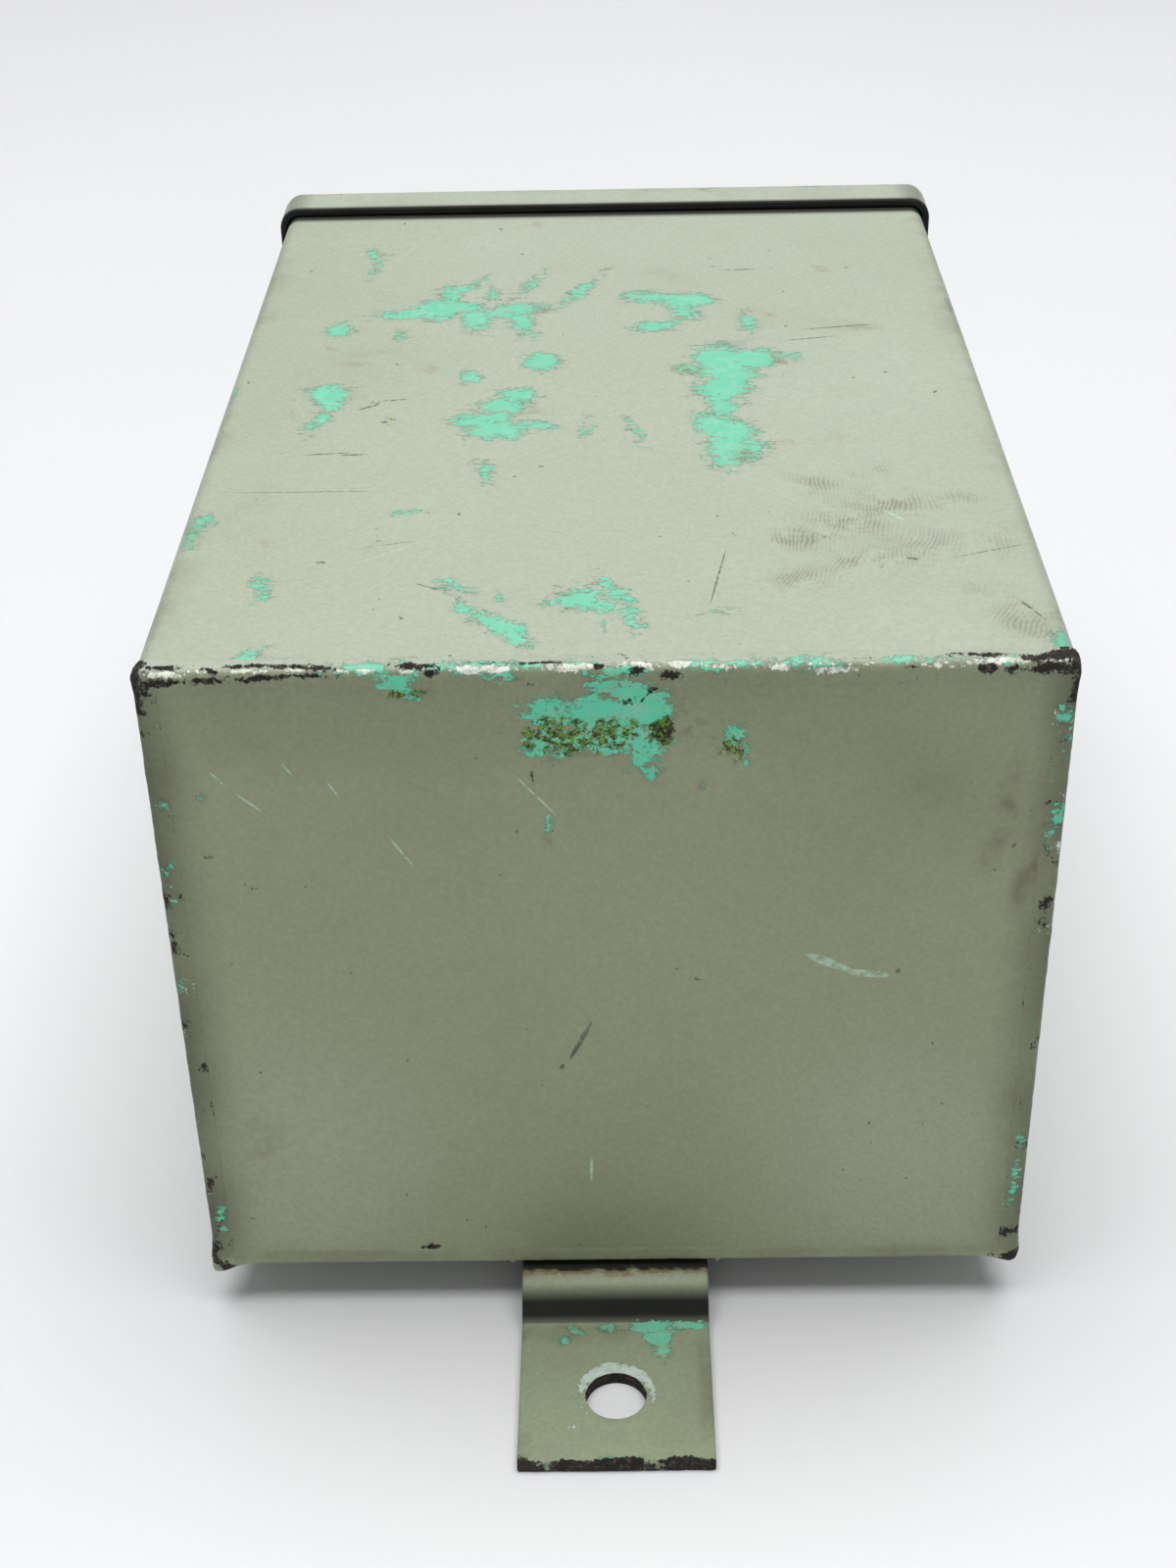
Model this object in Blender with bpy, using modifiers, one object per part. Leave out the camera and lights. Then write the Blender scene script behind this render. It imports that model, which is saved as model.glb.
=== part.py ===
"""Sheet-steel junction box with a lift-off cover, two mounting feet and a terminal panel inside.

The box stands on its feet. +Z is up, +Y runs from the welded rear wall to the cover, and the origin is on
the standing plane, under the middle of the whole length.
"""

import math

import bmesh
import bpy
from mathutils import Matrix

MM = 0.001
GAP = 0.3 * MM                     # left between pieces that touch on the real object

# Body: one folded sheet closed by a rear plate.
BODY_WIDTH = 110.0 * MM
BODY_HEIGHT = 94.0 * MM
BODY_SHEET = 1.9 * MM
BODY_BEND = 2.2 * MM               # outer radius of the four long folds
BEAD_RADIUS = 1.0 * MM
SEAM_X = -33.0 * MM                # the sheet's butt seam, on the underside
SEAM_WIDTH = 1.6 * MM
PLATE_CORNER = 0.6 * MM            # corner radius of the rear plate

# Cover: a shallow pan whose lip laps over the body's mouth.
COVER_SHEET = 1.2 * MM
LIP_LENGTH = 9.7 * MM
LIP_START = 159.0 * MM             # rear wall face to the lip's free edge
LIP_CLEARANCE = 0.4 * MM
COVER_CORNER = 3.4 * MM
COVER_BEND = 1.8 * MM
GASKET_THICKNESS = 2.4 * MM
GASKET_WIDTH = 5.4 * MM
GASKET_CORNER = 1.5 * MM           # inner corner radius

# Feet: joggled straps welded under the body.
FOOT_WIDTH = 25.4 * MM
FOOT_SHEET = 1.9 * MM
FOOT_HOLE = 7.9 * MM
FOOT_DROP = 5.0 * MM               # body underside to the top of the pad
FOOT_LAP = 22.0 * MM               # length under the body, along its welds
FOOT_TOP_GAP = 0.5 * MM
FOOT_TIP = 11.0 * MM               # hole centre to the strap's end
REAR_HOLE_REACH = 19.4 * MM        # rear wall to the rear foot's hole
FRONT_HOLE_REACH = 13.0 * MM       # cover face to the front foot's hole
REAR_PAD_START = 6.8 * MM
JOGGLE_ANGLE = math.radians(55)
JOGGLE_OUTER = 4.5 * MM
JOGGLE_INNER = 1.6 * MM
FOOT_BEAD = 1.1 * MM               # radius of the bead round a foot's lap
FOOT_BEAD_CORNER = 1.6 * MM
FOOT_BEAD_STOP = 2.5 * MM          # the bead ends this far short of the bend
FRONT_PAD_LEAD = 2.0 * MM          # the front foot is down this far before the lip

# Cover fastening: quarter-inch screws into tapped gussets in the mouth's corners.
SCREW_INSET = 9.0 * MM             # inner wall to screw centre, both ways
SHANK_RADIUS = 3.0 * MM
SHANK_HOLE = 3.5 * MM
HEAD_RADIUS = 5.8 * MM
HEAD_HEIGHT = 4.0 * MM
WASHER_THICKNESS = 1.4 * MM
GUSSET_LEG = 27.0 * MM
GUSSET_THICKNESS = 3.0 * MM
GUSSET_BLUNT = 5.0 * MM            # width of a gusset's cut-off tips
GUSSET_NOTCH = 0.6 * MM            # corner taken off to clear the fold
COLLAR_LENGTH = 5.4 * MM
COLLAR_RADIUS = 5.6 * MM
GUSSET_SET_BACK = 1.0 * MM
SCREW_PROTRUSION = 2.0 * MM
HEAD_CROWN = 9.0 * MM              # radius of the domed top
HEAD_SIDE = 0.42 * HEAD_HEIGHT     # height of the head's straight side
SHANK_CHAMFER = 0.8 * MM
HEAD_SLOT_DEPTH = 1.7 * MM
HEAD_SLOT_WIDTH = 1.4 * MM
WASHER_OVERHANG = 0.5 * MM

# Cable entries, one in each side, closed by hole seals.
ENTRY_RADIUS = 11.1 * MM
ENTRY_FROM_REAR = 62.0 * MM
ENTRY_HEIGHT = 38.0 * MM           # above the body's underside
SEAL_GASKET_OUTER = 14.0 * MM
SEAL_GASKET_INNER = 9.5 * MM
SEAL_GASKET_THICKNESS = 1.2 * MM
CAP_RADIUS = 15.4 * MM
CAP_FLAT = 11.0 * MM               # radius of the cap's flat middle
CAP_HEIGHT = 1.8 * MM
BAR_LENGTH = 34.0 * MM
BAR_WIDTH = 11.0 * MM
BAR_THICKNESS = 2.0 * MM
SEAL_SCREW_HOLE = 2.4 * MM
SEAL_SCREW_SHANK = 2.0 * MM
SEAL_SCREW_HEAD = 2.2 * MM         # height of its head
SEAL_SCREW_PAST = 4.0 * MM         # length beyond the bar's middle

# Panel on four collar studs.
PANEL_WIDTH = 92.0 * MM
PANEL_HEIGHT = 76.0 * MM
PANEL_STANDOFF = 10.0 * MM
STUD_X = 40.0 * MM
STUD_Z = 32.0 * MM
STUD_RADIUS = 2.4 * MM
STUD_COLLAR = 4.5 * MM             # radius of the collar that the panel rests on
STUD_END = 9.0 * MM                # length past the panel
STUD_CHAMFER = 0.5 * MM
PANEL_CORNER = 3.0 * MM
PANEL_NUT = 5.2 * MM               # centre to corner
PANEL_NUT_THICKNESS = 4.0 * MM

# Barrier terminal block.
POLES = 4
POLE_PITCH = 14.0 * MM
BARRIER = 1.8 * MM
BLOCK_HEIGHT = 30.0 * MM
BLOCK_BASE = 8.0 * MM
BLOCK_DEPTH = 15.0 * MM
EAR_LENGTH = 11.0 * MM
EAR_DEPTH = 5.0 * MM
TERMINAL_SCREW_Z = 7.5 * MM
TERMINAL_BORE = 2.1 * MM
TERMINAL_BORE_DEPTH = 6.0 * MM
TERMINAL_SHANK = 1.75 * MM
SMALL_HEAD_HEIGHT = 2.4 * MM       # head of a terminal or block screw
SMALL_SLOT = (9.0 * MM, 2.2 * MM, 0.9 * MM)
SMALL_CHAMFER = 0.6 * MM
LINK_THICKNESS = 1.0 * MM
LINK_CLEARANCE = 0.8 * MM          # link plate to barrier, each side
LINK_INSET = 2.0 * MM              # link plate to the block's edge
EAR_HOLE = 2.4 * MM
BLOCK_SCREW_SHANK = 1.8 * MM
STRIP_THICKNESS = 0.8 * MM
STRIP_HEIGHT = 7.0 * MM
STRIP_DROP = 5.5 * MM              # block's lower edge to the strip's middle
BLOCK_RISE = 6.0 * MM              # block centre above the panel's centre
GROUND_X = 0.0
GROUND_Z = -27.0 * MM              # ground stud from the panel's centre
GROUND_RADIUS = 2.5 * MM
GROUND_HEAD = 3.0 * MM             # thickness of its head behind the panel
GROUND_HEAD_RADIUS = 4.8 * MM
GROUND_END = 14.0 * MM
GROUND_HOLE = 2.9 * MM
GROUND_WASHER = 6.0 * MM
GROUND_WASHER_THICKNESS = 1.0 * MM
GROUND_NUT = 5.6 * MM
GROUND_NUT_THICKNESS = 4.4 * MM

# Places worked out from the sizes above.
COVER_DEPTH = LIP_START + LIP_LENGTH
TOTAL_LENGTH = REAR_HOLE_REACH + FOOT_TIP + COVER_DEPTH + FRONT_HOLE_REACH + FOOT_TIP
REAR_Y = -TOTAL_LENGTH / 2 + REAR_HOLE_REACH + FOOT_TIP
COVER_Y = REAR_Y + COVER_DEPTH
LIP_Y = REAR_Y + LIP_START
MOUTH_Y = COVER_Y - COVER_SHEET - GASKET_THICKNESS - 2 * GAP
BODY_Z = FOOT_SHEET + FOOT_DROP
MIDDLE_Z = BODY_Z + BODY_HEIGHT / 2
INNER_HALF_WIDTH = BODY_WIDTH / 2 - BODY_SHEET
INNER_HALF_HEIGHT = BODY_HEIGHT / 2 - BODY_SHEET
SCREW_X = INNER_HALF_WIDTH - SCREW_INSET
SCREW_Z = INNER_HALF_HEIGHT - SCREW_INSET
GUSSET_Y = MOUTH_Y - GUSSET_SET_BACK - GUSSET_THICKNESS
PANEL_Y = REAR_Y + BODY_SHEET + PANEL_STANDOFF
PANEL_FACE_Y = PANEL_Y + BODY_SHEET
BLOCK_Y = PANEL_FACE_Y + GAP
BLOCK_Z = MIDDLE_Z + BLOCK_RISE
BLOCK_FLOOR_Y = BLOCK_Y + BLOCK_BASE
ENTRY_Y = REAR_Y + ENTRY_FROM_REAR
ENTRY_Z = BODY_Z + ENTRY_HEIGHT

# Turns that stand a shape, modelled flat or upright, against one of the box's directions.
STANDING = (math.pi / 2, 0, 0)             # local X, Y become X, Z; local +Z becomes -Y
TOWARDS_COVER = (-math.pi / 2, 0, 0)       # local +Z becomes +Y


def clear_scene():
    for old in list(bpy.data.objects):
        bpy.data.objects.remove(old)


def new_collection(name):
    collection = bpy.data.collections.new(name)
    bpy.context.scene.collection.children.link(collection)
    return collection


def new_material(name, colour, roughness, metallic):
    material = bpy.data.materials.new(name)
    material.use_nodes = True
    shader = material.node_tree.nodes["Principled BSDF"]
    shader.inputs["Base Color"].default_value = (*colour, 1.0)
    shader.inputs["Roughness"].default_value = roughness
    shader.inputs["Metallic"].default_value = metallic
    return material


clear_scene()
PARTS = new_collection("junction_box")
CUTTERS = new_collection("cutters")
GREY_ENAMEL = new_material("grey_enamel", (0.50, 0.53, 0.44), 0.45, 0.0)
WELD_PAINT = new_material("painted_weld", (0.42, 0.45, 0.38), 0.55, 0.0)
ZINC = new_material("zinc_plate", (0.62, 0.62, 0.60), 0.35, 1.0)
BRASS = new_material("brass", (0.70, 0.55, 0.28), 0.35, 1.0)
NEOPRENE = new_material("neoprene", (0.05, 0.05, 0.05), 0.8, 0.0)
PHENOLIC = new_material("phenolic", (0.07, 0.05, 0.04), 0.4, 0.0)
FIBRE = new_material("white_fibre", (0.75, 0.73, 0.66), 0.7, 0.0)


# ---- outlines and profiles -------------------------------------------------------------------------------

def arc(centre, radius, start, end, steps):
    """Points on an arc, angles in degrees, both ends included."""
    angles = [math.radians(start + (end - start) * i / steps) for i in range(steps + 1)]
    return [(centre[0] + radius * math.cos(a), centre[1] + radius * math.sin(a)) for a in angles]


def circle(centre, radius, sides=24):
    return arc(centre, radius, 0, 360 * (sides - 1) / sides, sides - 1)


def rounded_rectangle(width, height, radius, steps=4):
    """Anticlockwise outline about the origin, from the right side round to the lower right corner."""
    across, up = width / 2 - radius, height / 2 - radius
    points = []
    for side_x, side_y, start in ((1, 1, 0), (-1, 1, 90), (-1, -1, 180), (1, -1, 270)):
        points += arc((side_x * across, side_y * up), radius, start, start + 90, steps)
    return points


def folded_sheet_outline():
    """Section of the body: outside from seam to seam, then back along the inside."""

    def path(inset):
        across = BODY_WIDTH / 2 - BODY_BEND
        up = BODY_HEIGHT / 2 - BODY_BEND
        radius = BODY_BEND - inset
        points = [(SEAM_X + SEAM_WIDTH / 2, -up - radius)]
        for side_x, side_z, start in ((1, -1, 270), (1, 1, 0), (-1, 1, 90), (-1, -1, 180)):
            points += arc((side_x * across, side_z * up), radius, start, start + 90, 5)
        points.append((SEAM_X - SEAM_WIDTH / 2, -up - radius))
        return points

    return path(0) + path(BODY_SHEET)[::-1]


def joggle_run():
    """Length, along the foot, of the two bends and the slope between them."""
    bends = JOGGLE_OUTER + JOGGLE_INNER
    slope_rise = FOOT_DROP - FOOT_TOP_GAP - bends * (1 - math.cos(JOGGLE_ANGLE))
    return slope_rise / math.tan(JOGGLE_ANGLE) + bends * math.sin(JOGGLE_ANGLE)


def strap_outline(lap_end, pad_start, tip):
    """Side view of a joggled foot: outward distance and height, top surface first, then the underside."""
    top = BODY_Z - FOOT_TOP_GAP
    pad = FOOT_SHEET
    upper = (pad_start - joggle_run(), top - JOGGLE_OUTER)
    lower = (pad_start, pad + JOGGLE_INNER)
    turn = math.degrees(JOGGLE_ANGLE)

    def surface(sink):
        points = [(lap_end, top - sink)]
        points += arc(upper, JOGGLE_OUTER - sink, 90, 90 - turn, 6)
        points += arc(lower, JOGGLE_INNER + sink, 270 - turn, 270, 6)
        points.append((tip, pad - sink))
        return points

    return surface(0) + surface(FOOT_SHEET)[::-1]


# ---- makers ----------------------------------------------------------------------------------------------

def place(item, location, rotation=(0, 0, 0)):
    item.location = location
    item.rotation_euler = rotation
    return item


def add_mesh(name, bm, material, collection=None):
    mesh = bpy.data.meshes.new(name)
    bm.to_mesh(mesh)
    bm.free()
    item = bpy.data.objects.new(name, mesh)
    if material is not None:
        mesh.materials.append(material)
    (collection or PARTS).objects.link(item)
    return item


def smooth(item, angle=35):
    item.data.shade_smooth()
    item.data.set_sharp_from_angle(angle=math.radians(angle))
    return item


def curve_to_mesh(item, material):
    """Replace a curve by its welded mesh, so that it can be cut and bevelled."""
    bpy.context.view_layer.update()
    evaluated = item.evaluated_get(bpy.context.evaluated_depsgraph_get())
    mesh = bpy.data.meshes.new_from_object(evaluated)
    bm = bmesh.new()
    bm.from_mesh(mesh)
    bmesh.ops.remove_doubles(bm, verts=bm.verts, dist=1e-6)
    bmesh.ops.recalc_face_normals(bm, faces=bm.faces)
    bm.to_mesh(mesh)
    bm.free()
    mesh.materials.clear()
    mesh.materials.append(material)
    name = item.name
    solid = bpy.data.objects.new(name + "_mesh", mesh)
    solid.matrix_world = item.matrix_world.copy()
    bpy.data.objects.remove(item)
    solid.name = name
    PARTS.objects.link(solid)
    return solid


def add_plate(name, outlines, thickness, material, location, rotation=(0, 0, 0)):
    """Flat piece: the first outline is its edge and the others are holes; thickness is centred."""
    curve = bpy.data.curves.new(name, "CURVE")
    curve.dimensions = "2D"
    curve.fill_mode = "BOTH"
    curve.extrude = thickness / 2
    for outline in outlines:
        spline = curve.splines.new("POLY")
        spline.points.add(len(outline) - 1)
        for point, (x, y) in zip(spline.points, outline):
            point.co = (x, y, 0, 1)
        spline.use_cyclic_u = True
    item = bpy.data.objects.new(name, curve)
    PARTS.objects.link(item)
    place(item, location, rotation)
    return smooth(curve_to_mesh(item, material))


def add_bead(name, points, radius, material, cyclic):
    """Weld bead: a round rod along a route."""
    curve = bpy.data.curves.new(name, "CURVE")
    curve.dimensions = "3D"
    curve.bevel_depth = radius
    curve.bevel_resolution = 2
    curve.use_fill_caps = not cyclic
    spline = curve.splines.new("POLY")
    spline.points.add(len(points) - 1)
    for point, where in zip(spline.points, points):
        point.co = (*where, 1)
    spline.use_cyclic_u = cyclic
    curve.materials.append(material)
    item = bpy.data.objects.new(name, curve)
    PARTS.objects.link(item)
    return item


def add_turned(name, profile, material, location, rotation, sides=24, closed=False):
    """Turned piece: profile of radius and height, down its outer side; closed where it is a ring."""
    bm = bmesh.new()
    vertices = [bm.verts.new((radius, 0, height)) for radius, height in profile]
    for first, second in zip(vertices, vertices[1:]):
        bm.edges.new((first, second))
    if closed:
        bm.edges.new((vertices[-1], vertices[0]))
    item = add_mesh(name, bm, material)
    screw = item.modifiers.new("turn", "SCREW")
    screw.steps = sides
    screw.render_steps = sides
    screw.use_merge_vertices = True
    screw.merge_threshold = 0.00001
    screw.use_smooth_shade = True
    return place(item, location, rotation)


def add_box(name, size, material, location, bevel=0.0):
    bm = bmesh.new()
    bmesh.ops.create_cube(bm, size=1)
    bmesh.ops.scale(bm, vec=size, verts=bm.verts)
    item = add_mesh(name, bm, material)
    item.location = location
    if bevel:
        edge = item.modifiers.new("edge", "BEVEL")
        edge.width = bevel
        edge.segments = 2
    return item


def add_cutter(name, bm):
    cutter = add_mesh(name, bm, None, CUTTERS)
    cutter.hide_render = True
    cutter.display_type = "WIRE"
    return cutter


def rod_cutter(name, centres, radius, length, rotation=(0, 0, 0), sides=24):
    """One cutter made of parallel rods."""
    bm = bmesh.new()
    turn = Matrix.Rotation(rotation[0], 4, "X") @ Matrix.Rotation(rotation[1], 4, "Y")
    for centre in centres:
        bmesh.ops.create_cone(
            bm, cap_ends=True, segments=sides, radius1=radius, radius2=radius, depth=length,
            matrix=Matrix.Translation(centre) @ turn,
        )
    return add_cutter(name, bm)


def box_cutter(name, size, centre, turn=0.0):
    """A box cutter, turned about +Y."""
    bm = bmesh.new()
    bmesh.ops.create_cube(bm, size=1)
    bmesh.ops.scale(bm, vec=size, verts=bm.verts)
    bmesh.ops.rotate(bm, cent=(0, 0, 0), matrix=Matrix.Rotation(turn, 3, "Y"), verts=bm.verts)
    bmesh.ops.translate(bm, vec=centre, verts=bm.verts)
    return add_cutter(name, bm)


def cut(item, cutter):
    boolean = item.modifiers.new("cut_" + cutter.name, "BOOLEAN")
    boolean.operation = "DIFFERENCE"
    boolean.object = cutter
    return item


# ---- body ------------------------------------------------------------------------------------------------

def make_body():
    wrap_start = REAR_Y + BODY_SHEET + GAP
    length = MOUTH_Y - wrap_start
    middle = (0, wrap_start + length / 2, MIDDLE_Z)
    wrap = add_plate("body_wrap", [folded_sheet_outline()], length, GREY_ENAMEL, middle, STANDING)
    entries = [(side * BODY_WIDTH / 2, ENTRY_Y, ENTRY_Z) for side in (-1, 1)]
    cut(wrap, rod_cutter("entry_holes", entries, ENTRY_RADIUS, 4 * BODY_SHEET, (0, math.pi / 2, 0), 32))

    seam_size = (SEAM_WIDTH - 2 * GAP, length - 2 * GAP, BODY_SHEET)
    add_box("seam_weld", seam_size, WELD_PAINT, (SEAM_X, middle[1], BODY_Z + BODY_SHEET / 2))

    margin = 2 * BEAD_RADIUS + GAP
    edge = rounded_rectangle(BODY_WIDTH - 2 * margin, BODY_HEIGHT - 2 * margin, PLATE_CORNER, 3)
    plate_centre = (0, REAR_Y + BODY_SHEET / 2, MIDDLE_Z)
    add_plate("rear_wall", [edge], BODY_SHEET, GREY_ENAMEL, plate_centre, STANDING)

    bead_y = REAR_Y + BODY_SHEET - BEAD_RADIUS
    route = rounded_rectangle(BODY_WIDTH - 2 * BEAD_RADIUS, BODY_HEIGHT - 2 * BEAD_RADIUS, BODY_BEND, 5)
    ring = [(x, bead_y, MIDDLE_Z + z) for x, z in route]
    add_bead("rear_weld", ring, BEAD_RADIUS, WELD_PAINT, True)


# ---- feet ------------------------------------------------------------------------------------------------

def make_foot(name, wall_y, outward, pad_start, hole_reach):
    """A foot measured outwards from wall_y; outward is -1 at the rear and +1 at the cover."""
    bend_start = pad_start - joggle_run()
    lap_end = bend_start - FOOT_LAP
    outline = strap_outline(lap_end, pad_start, hole_reach + FOOT_TIP)
    # The outline's first coordinate runs along local X; a quarter turn about Z lays it along Y.
    rotation = (math.pi / 2, 0, outward * math.pi / 2)
    foot = add_plate(name, [outline], FOOT_WIDTH, GREY_ENAMEL, (0, wall_y, 0), rotation)
    hole = (0, wall_y + outward * hole_reach, FOOT_SHEET / 2)
    cut(foot, rod_cutter(name + "_hole", [hole], FOOT_HOLE / 2, 3 * FOOT_SHEET, sides=32))

    side_x = FOOT_WIDTH / 2 + GAP + FOOT_BEAD
    near_y = wall_y + outward * (bend_start - FOOT_BEAD_STOP)
    far_y = wall_y + outward * (lap_end - GAP - FOOT_BEAD)
    bead_z = BODY_Z - GAP - FOOT_BEAD
    bends = arc((side_x - FOOT_BEAD_CORNER, 0), FOOT_BEAD_CORNER, 0, 90, 4)
    half = [(x, far_y + outward * (FOOT_BEAD_CORNER - along), bead_z) for x, along in bends]
    other = [(-x, y, z) for x, y, z in reversed(half)]
    route = [(side_x, near_y, bead_z)] + half + other + [(-side_x, near_y, bead_z)]
    add_bead("foot_weld_" + name.split("_")[1], route, FOOT_BEAD, WELD_PAINT, False)


def make_feet():
    make_foot("foot_rear", REAR_Y, -1, REAR_PAD_START, REAR_HOLE_REACH)
    # The front foot has come down to its pad before it passes under the cover's lip.
    pad_from_cover = LIP_Y - FRONT_PAD_LEAD - COVER_Y
    make_foot("foot_front", COVER_Y, 1, pad_from_cover, FRONT_HOLE_REACH)


# ---- cover -----------------------------------------------------------------------------------------------

def make_cover():
    proud = COVER_SHEET + LIP_CLEARANCE
    size = (BODY_WIDTH + 2 * proud, LIP_LENGTH, BODY_HEIGHT + 2 * proud)
    bm = bmesh.new()
    bmesh.ops.create_cube(bm, size=1)
    bmesh.ops.scale(bm, vec=size, verts=bm.verts)
    open_side = [face for face in bm.faces if face.normal.y < -0.5]
    bmesh.ops.delete(bm, geom=open_side, context="FACES_ONLY")
    corners = [e for e in bm.edges if abs((e.verts[0].co - e.verts[1].co).y) > LIP_LENGTH / 2]
    bmesh.ops.bevel(bm, geom=corners, offset=COVER_CORNER, segments=4, profile=0.5, affect="EDGES")
    rim = [e for e in bm.edges if all(v.co.y > LIP_LENGTH / 2 - GAP for v in e.verts)]
    bmesh.ops.bevel(bm, geom=rim, offset=COVER_BEND, segments=3, profile=0.5, affect="EDGES")
    cover = add_mesh("cover", bm, GREY_ENAMEL)
    cover.location = (0, COVER_Y - LIP_LENGTH / 2, MIDDLE_Z)
    shell = cover.modifiers.new("sheet", "SOLIDIFY")
    shell.thickness = COVER_SHEET
    shell.offset = -1
    shell.use_even_offset = True
    smooth(cover)
    holes = [(x, COVER_Y, MIDDLE_Z + z) for x, z, _ in screw_places()]
    cut(cover, rod_cutter("cover_holes", holes, SHANK_HOLE, 4 * COVER_SHEET, STANDING))

    ring_width = BODY_WIDTH - 2 * GAP + 2 * LIP_CLEARANCE
    ring_height = BODY_HEIGHT - 2 * GAP + 2 * LIP_CLEARANCE
    outer = rounded_rectangle(ring_width, ring_height, COVER_CORNER - COVER_SHEET)
    inner = rounded_rectangle(ring_width - 2 * GASKET_WIDTH, ring_height - 2 * GASKET_WIDTH, GASKET_CORNER)
    centre = (0, MOUTH_Y + GAP + GASKET_THICKNESS / 2, MIDDLE_Z)
    add_plate("cover_gasket", [outer, inner[::-1]], GASKET_THICKNESS, NEOPRENE, centre, STANDING)


def screw_places():
    """Each cover screw's place on the cover and its name."""
    names = {(-1, 1): "top_left", (1, 1): "top_right", (-1, -1): "bottom_left", (1, -1): "bottom_right"}
    return [(sx * SCREW_X, sz * SCREW_Z, name) for (sx, sz), name in names.items()]


def make_gusset(name, x, z):
    """Corner gusset with a drawn, tapped collar behind it."""
    side_x, side_z = math.copysign(1, x), math.copysign(1, z)
    corner = (side_x * (INNER_HALF_WIDTH - GAP), side_z * (INNER_HALF_HEIGHT - GAP))
    leg, blunt, notch = GUSSET_LEG, GUSSET_BLUNT, GUSSET_NOTCH
    steps = ((notch, 0), (leg, 0), (leg, blunt), (blunt, leg), (0, leg), (0, notch))
    edge = [(corner[0] - side_x * a, corner[1] - side_z * b) for a, b in steps]
    centre = (0, GUSSET_Y + GUSSET_THICKNESS / 2, MIDDLE_Z)
    gusset = add_plate(name, [edge], GUSSET_THICKNESS, GREY_ENAMEL, centre, STANDING)
    bm = bmesh.new()
    top = GUSSET_Y + GUSSET_THICKNESS / 2
    length = COLLAR_LENGTH + GUSSET_THICKNESS / 2
    middle = (x, top - length / 2, MIDDLE_Z + z)
    turn = Matrix.Rotation(math.pi / 2, 4, "X")
    bmesh.ops.create_cone(
        bm, cap_ends=True, segments=24, radius1=COLLAR_RADIUS, radius2=COLLAR_RADIUS, depth=length,
        matrix=Matrix.Translation(middle) @ turn,
    )
    collar = add_cutter(name + "_collar", bm)
    join = gusset.modifiers.new("collar", "BOOLEAN")
    join.operation = "UNION"
    join.object = collar
    hole = [(x, GUSSET_Y - COLLAR_LENGTH / 2, MIDDLE_Z + z)]
    cut(gusset, rod_cutter(name + "_bore", hole, SHANK_HOLE, GUSSET_LEG, STANDING))


def make_cover_screw(name, x, z):
    washer_y = COVER_Y + GAP
    rim = HEAD_RADIUS + WASHER_OVERHANG
    washer = [(rim, WASHER_THICKNESS), (rim, 0), (SHANK_HOLE, 0), (SHANK_HOLE, WASHER_THICKNESS)]
    where = (x, washer_y, MIDDLE_Z + z)
    add_turned("cover_washer_" + name, washer, ZINC, where, TOWARDS_COVER, 20, closed=True)

    head_y = washer_y + WASHER_THICKNESS + GAP
    length = head_y - (GUSSET_Y - COLLAR_LENGTH - SCREW_PROTRUSION)
    profile = arc((0, HEAD_HEIGHT - HEAD_CROWN), HEAD_CROWN, 90, 54, 3)
    profile += [(HEAD_RADIUS, HEAD_SIDE), (HEAD_RADIUS, 0), (SHANK_RADIUS, 0)]
    tip = SHANK_RADIUS - SHANK_CHAMFER
    profile += [(SHANK_RADIUS, SHANK_CHAMFER - length), (tip, -length), (0, -length)]
    head = (x, head_y, MIDDLE_Z + z)
    screw = add_turned("cover_screw_" + name, profile, ZINC, head, TOWARDS_COVER, 20)
    slot_size = (3 * HEAD_RADIUS, 2 * HEAD_SLOT_DEPTH, HEAD_SLOT_WIDTH)
    slot_centre = (x, head_y + HEAD_HEIGHT, MIDDLE_Z + z)
    turn = math.radians({"top_left": 20, "top_right": -35, "bottom_left": 70, "bottom_right": 5}[name])
    cut(screw, box_cutter("slot_" + name, slot_size, slot_centre, turn))


def make_cover_fastening():
    for x, z, name in screw_places():
        make_gusset("corner_gusset_" + name, x, z)
        make_cover_screw(name, x, z)


# ---- cable entries ---------------------------------------------------------------------------------------

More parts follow.
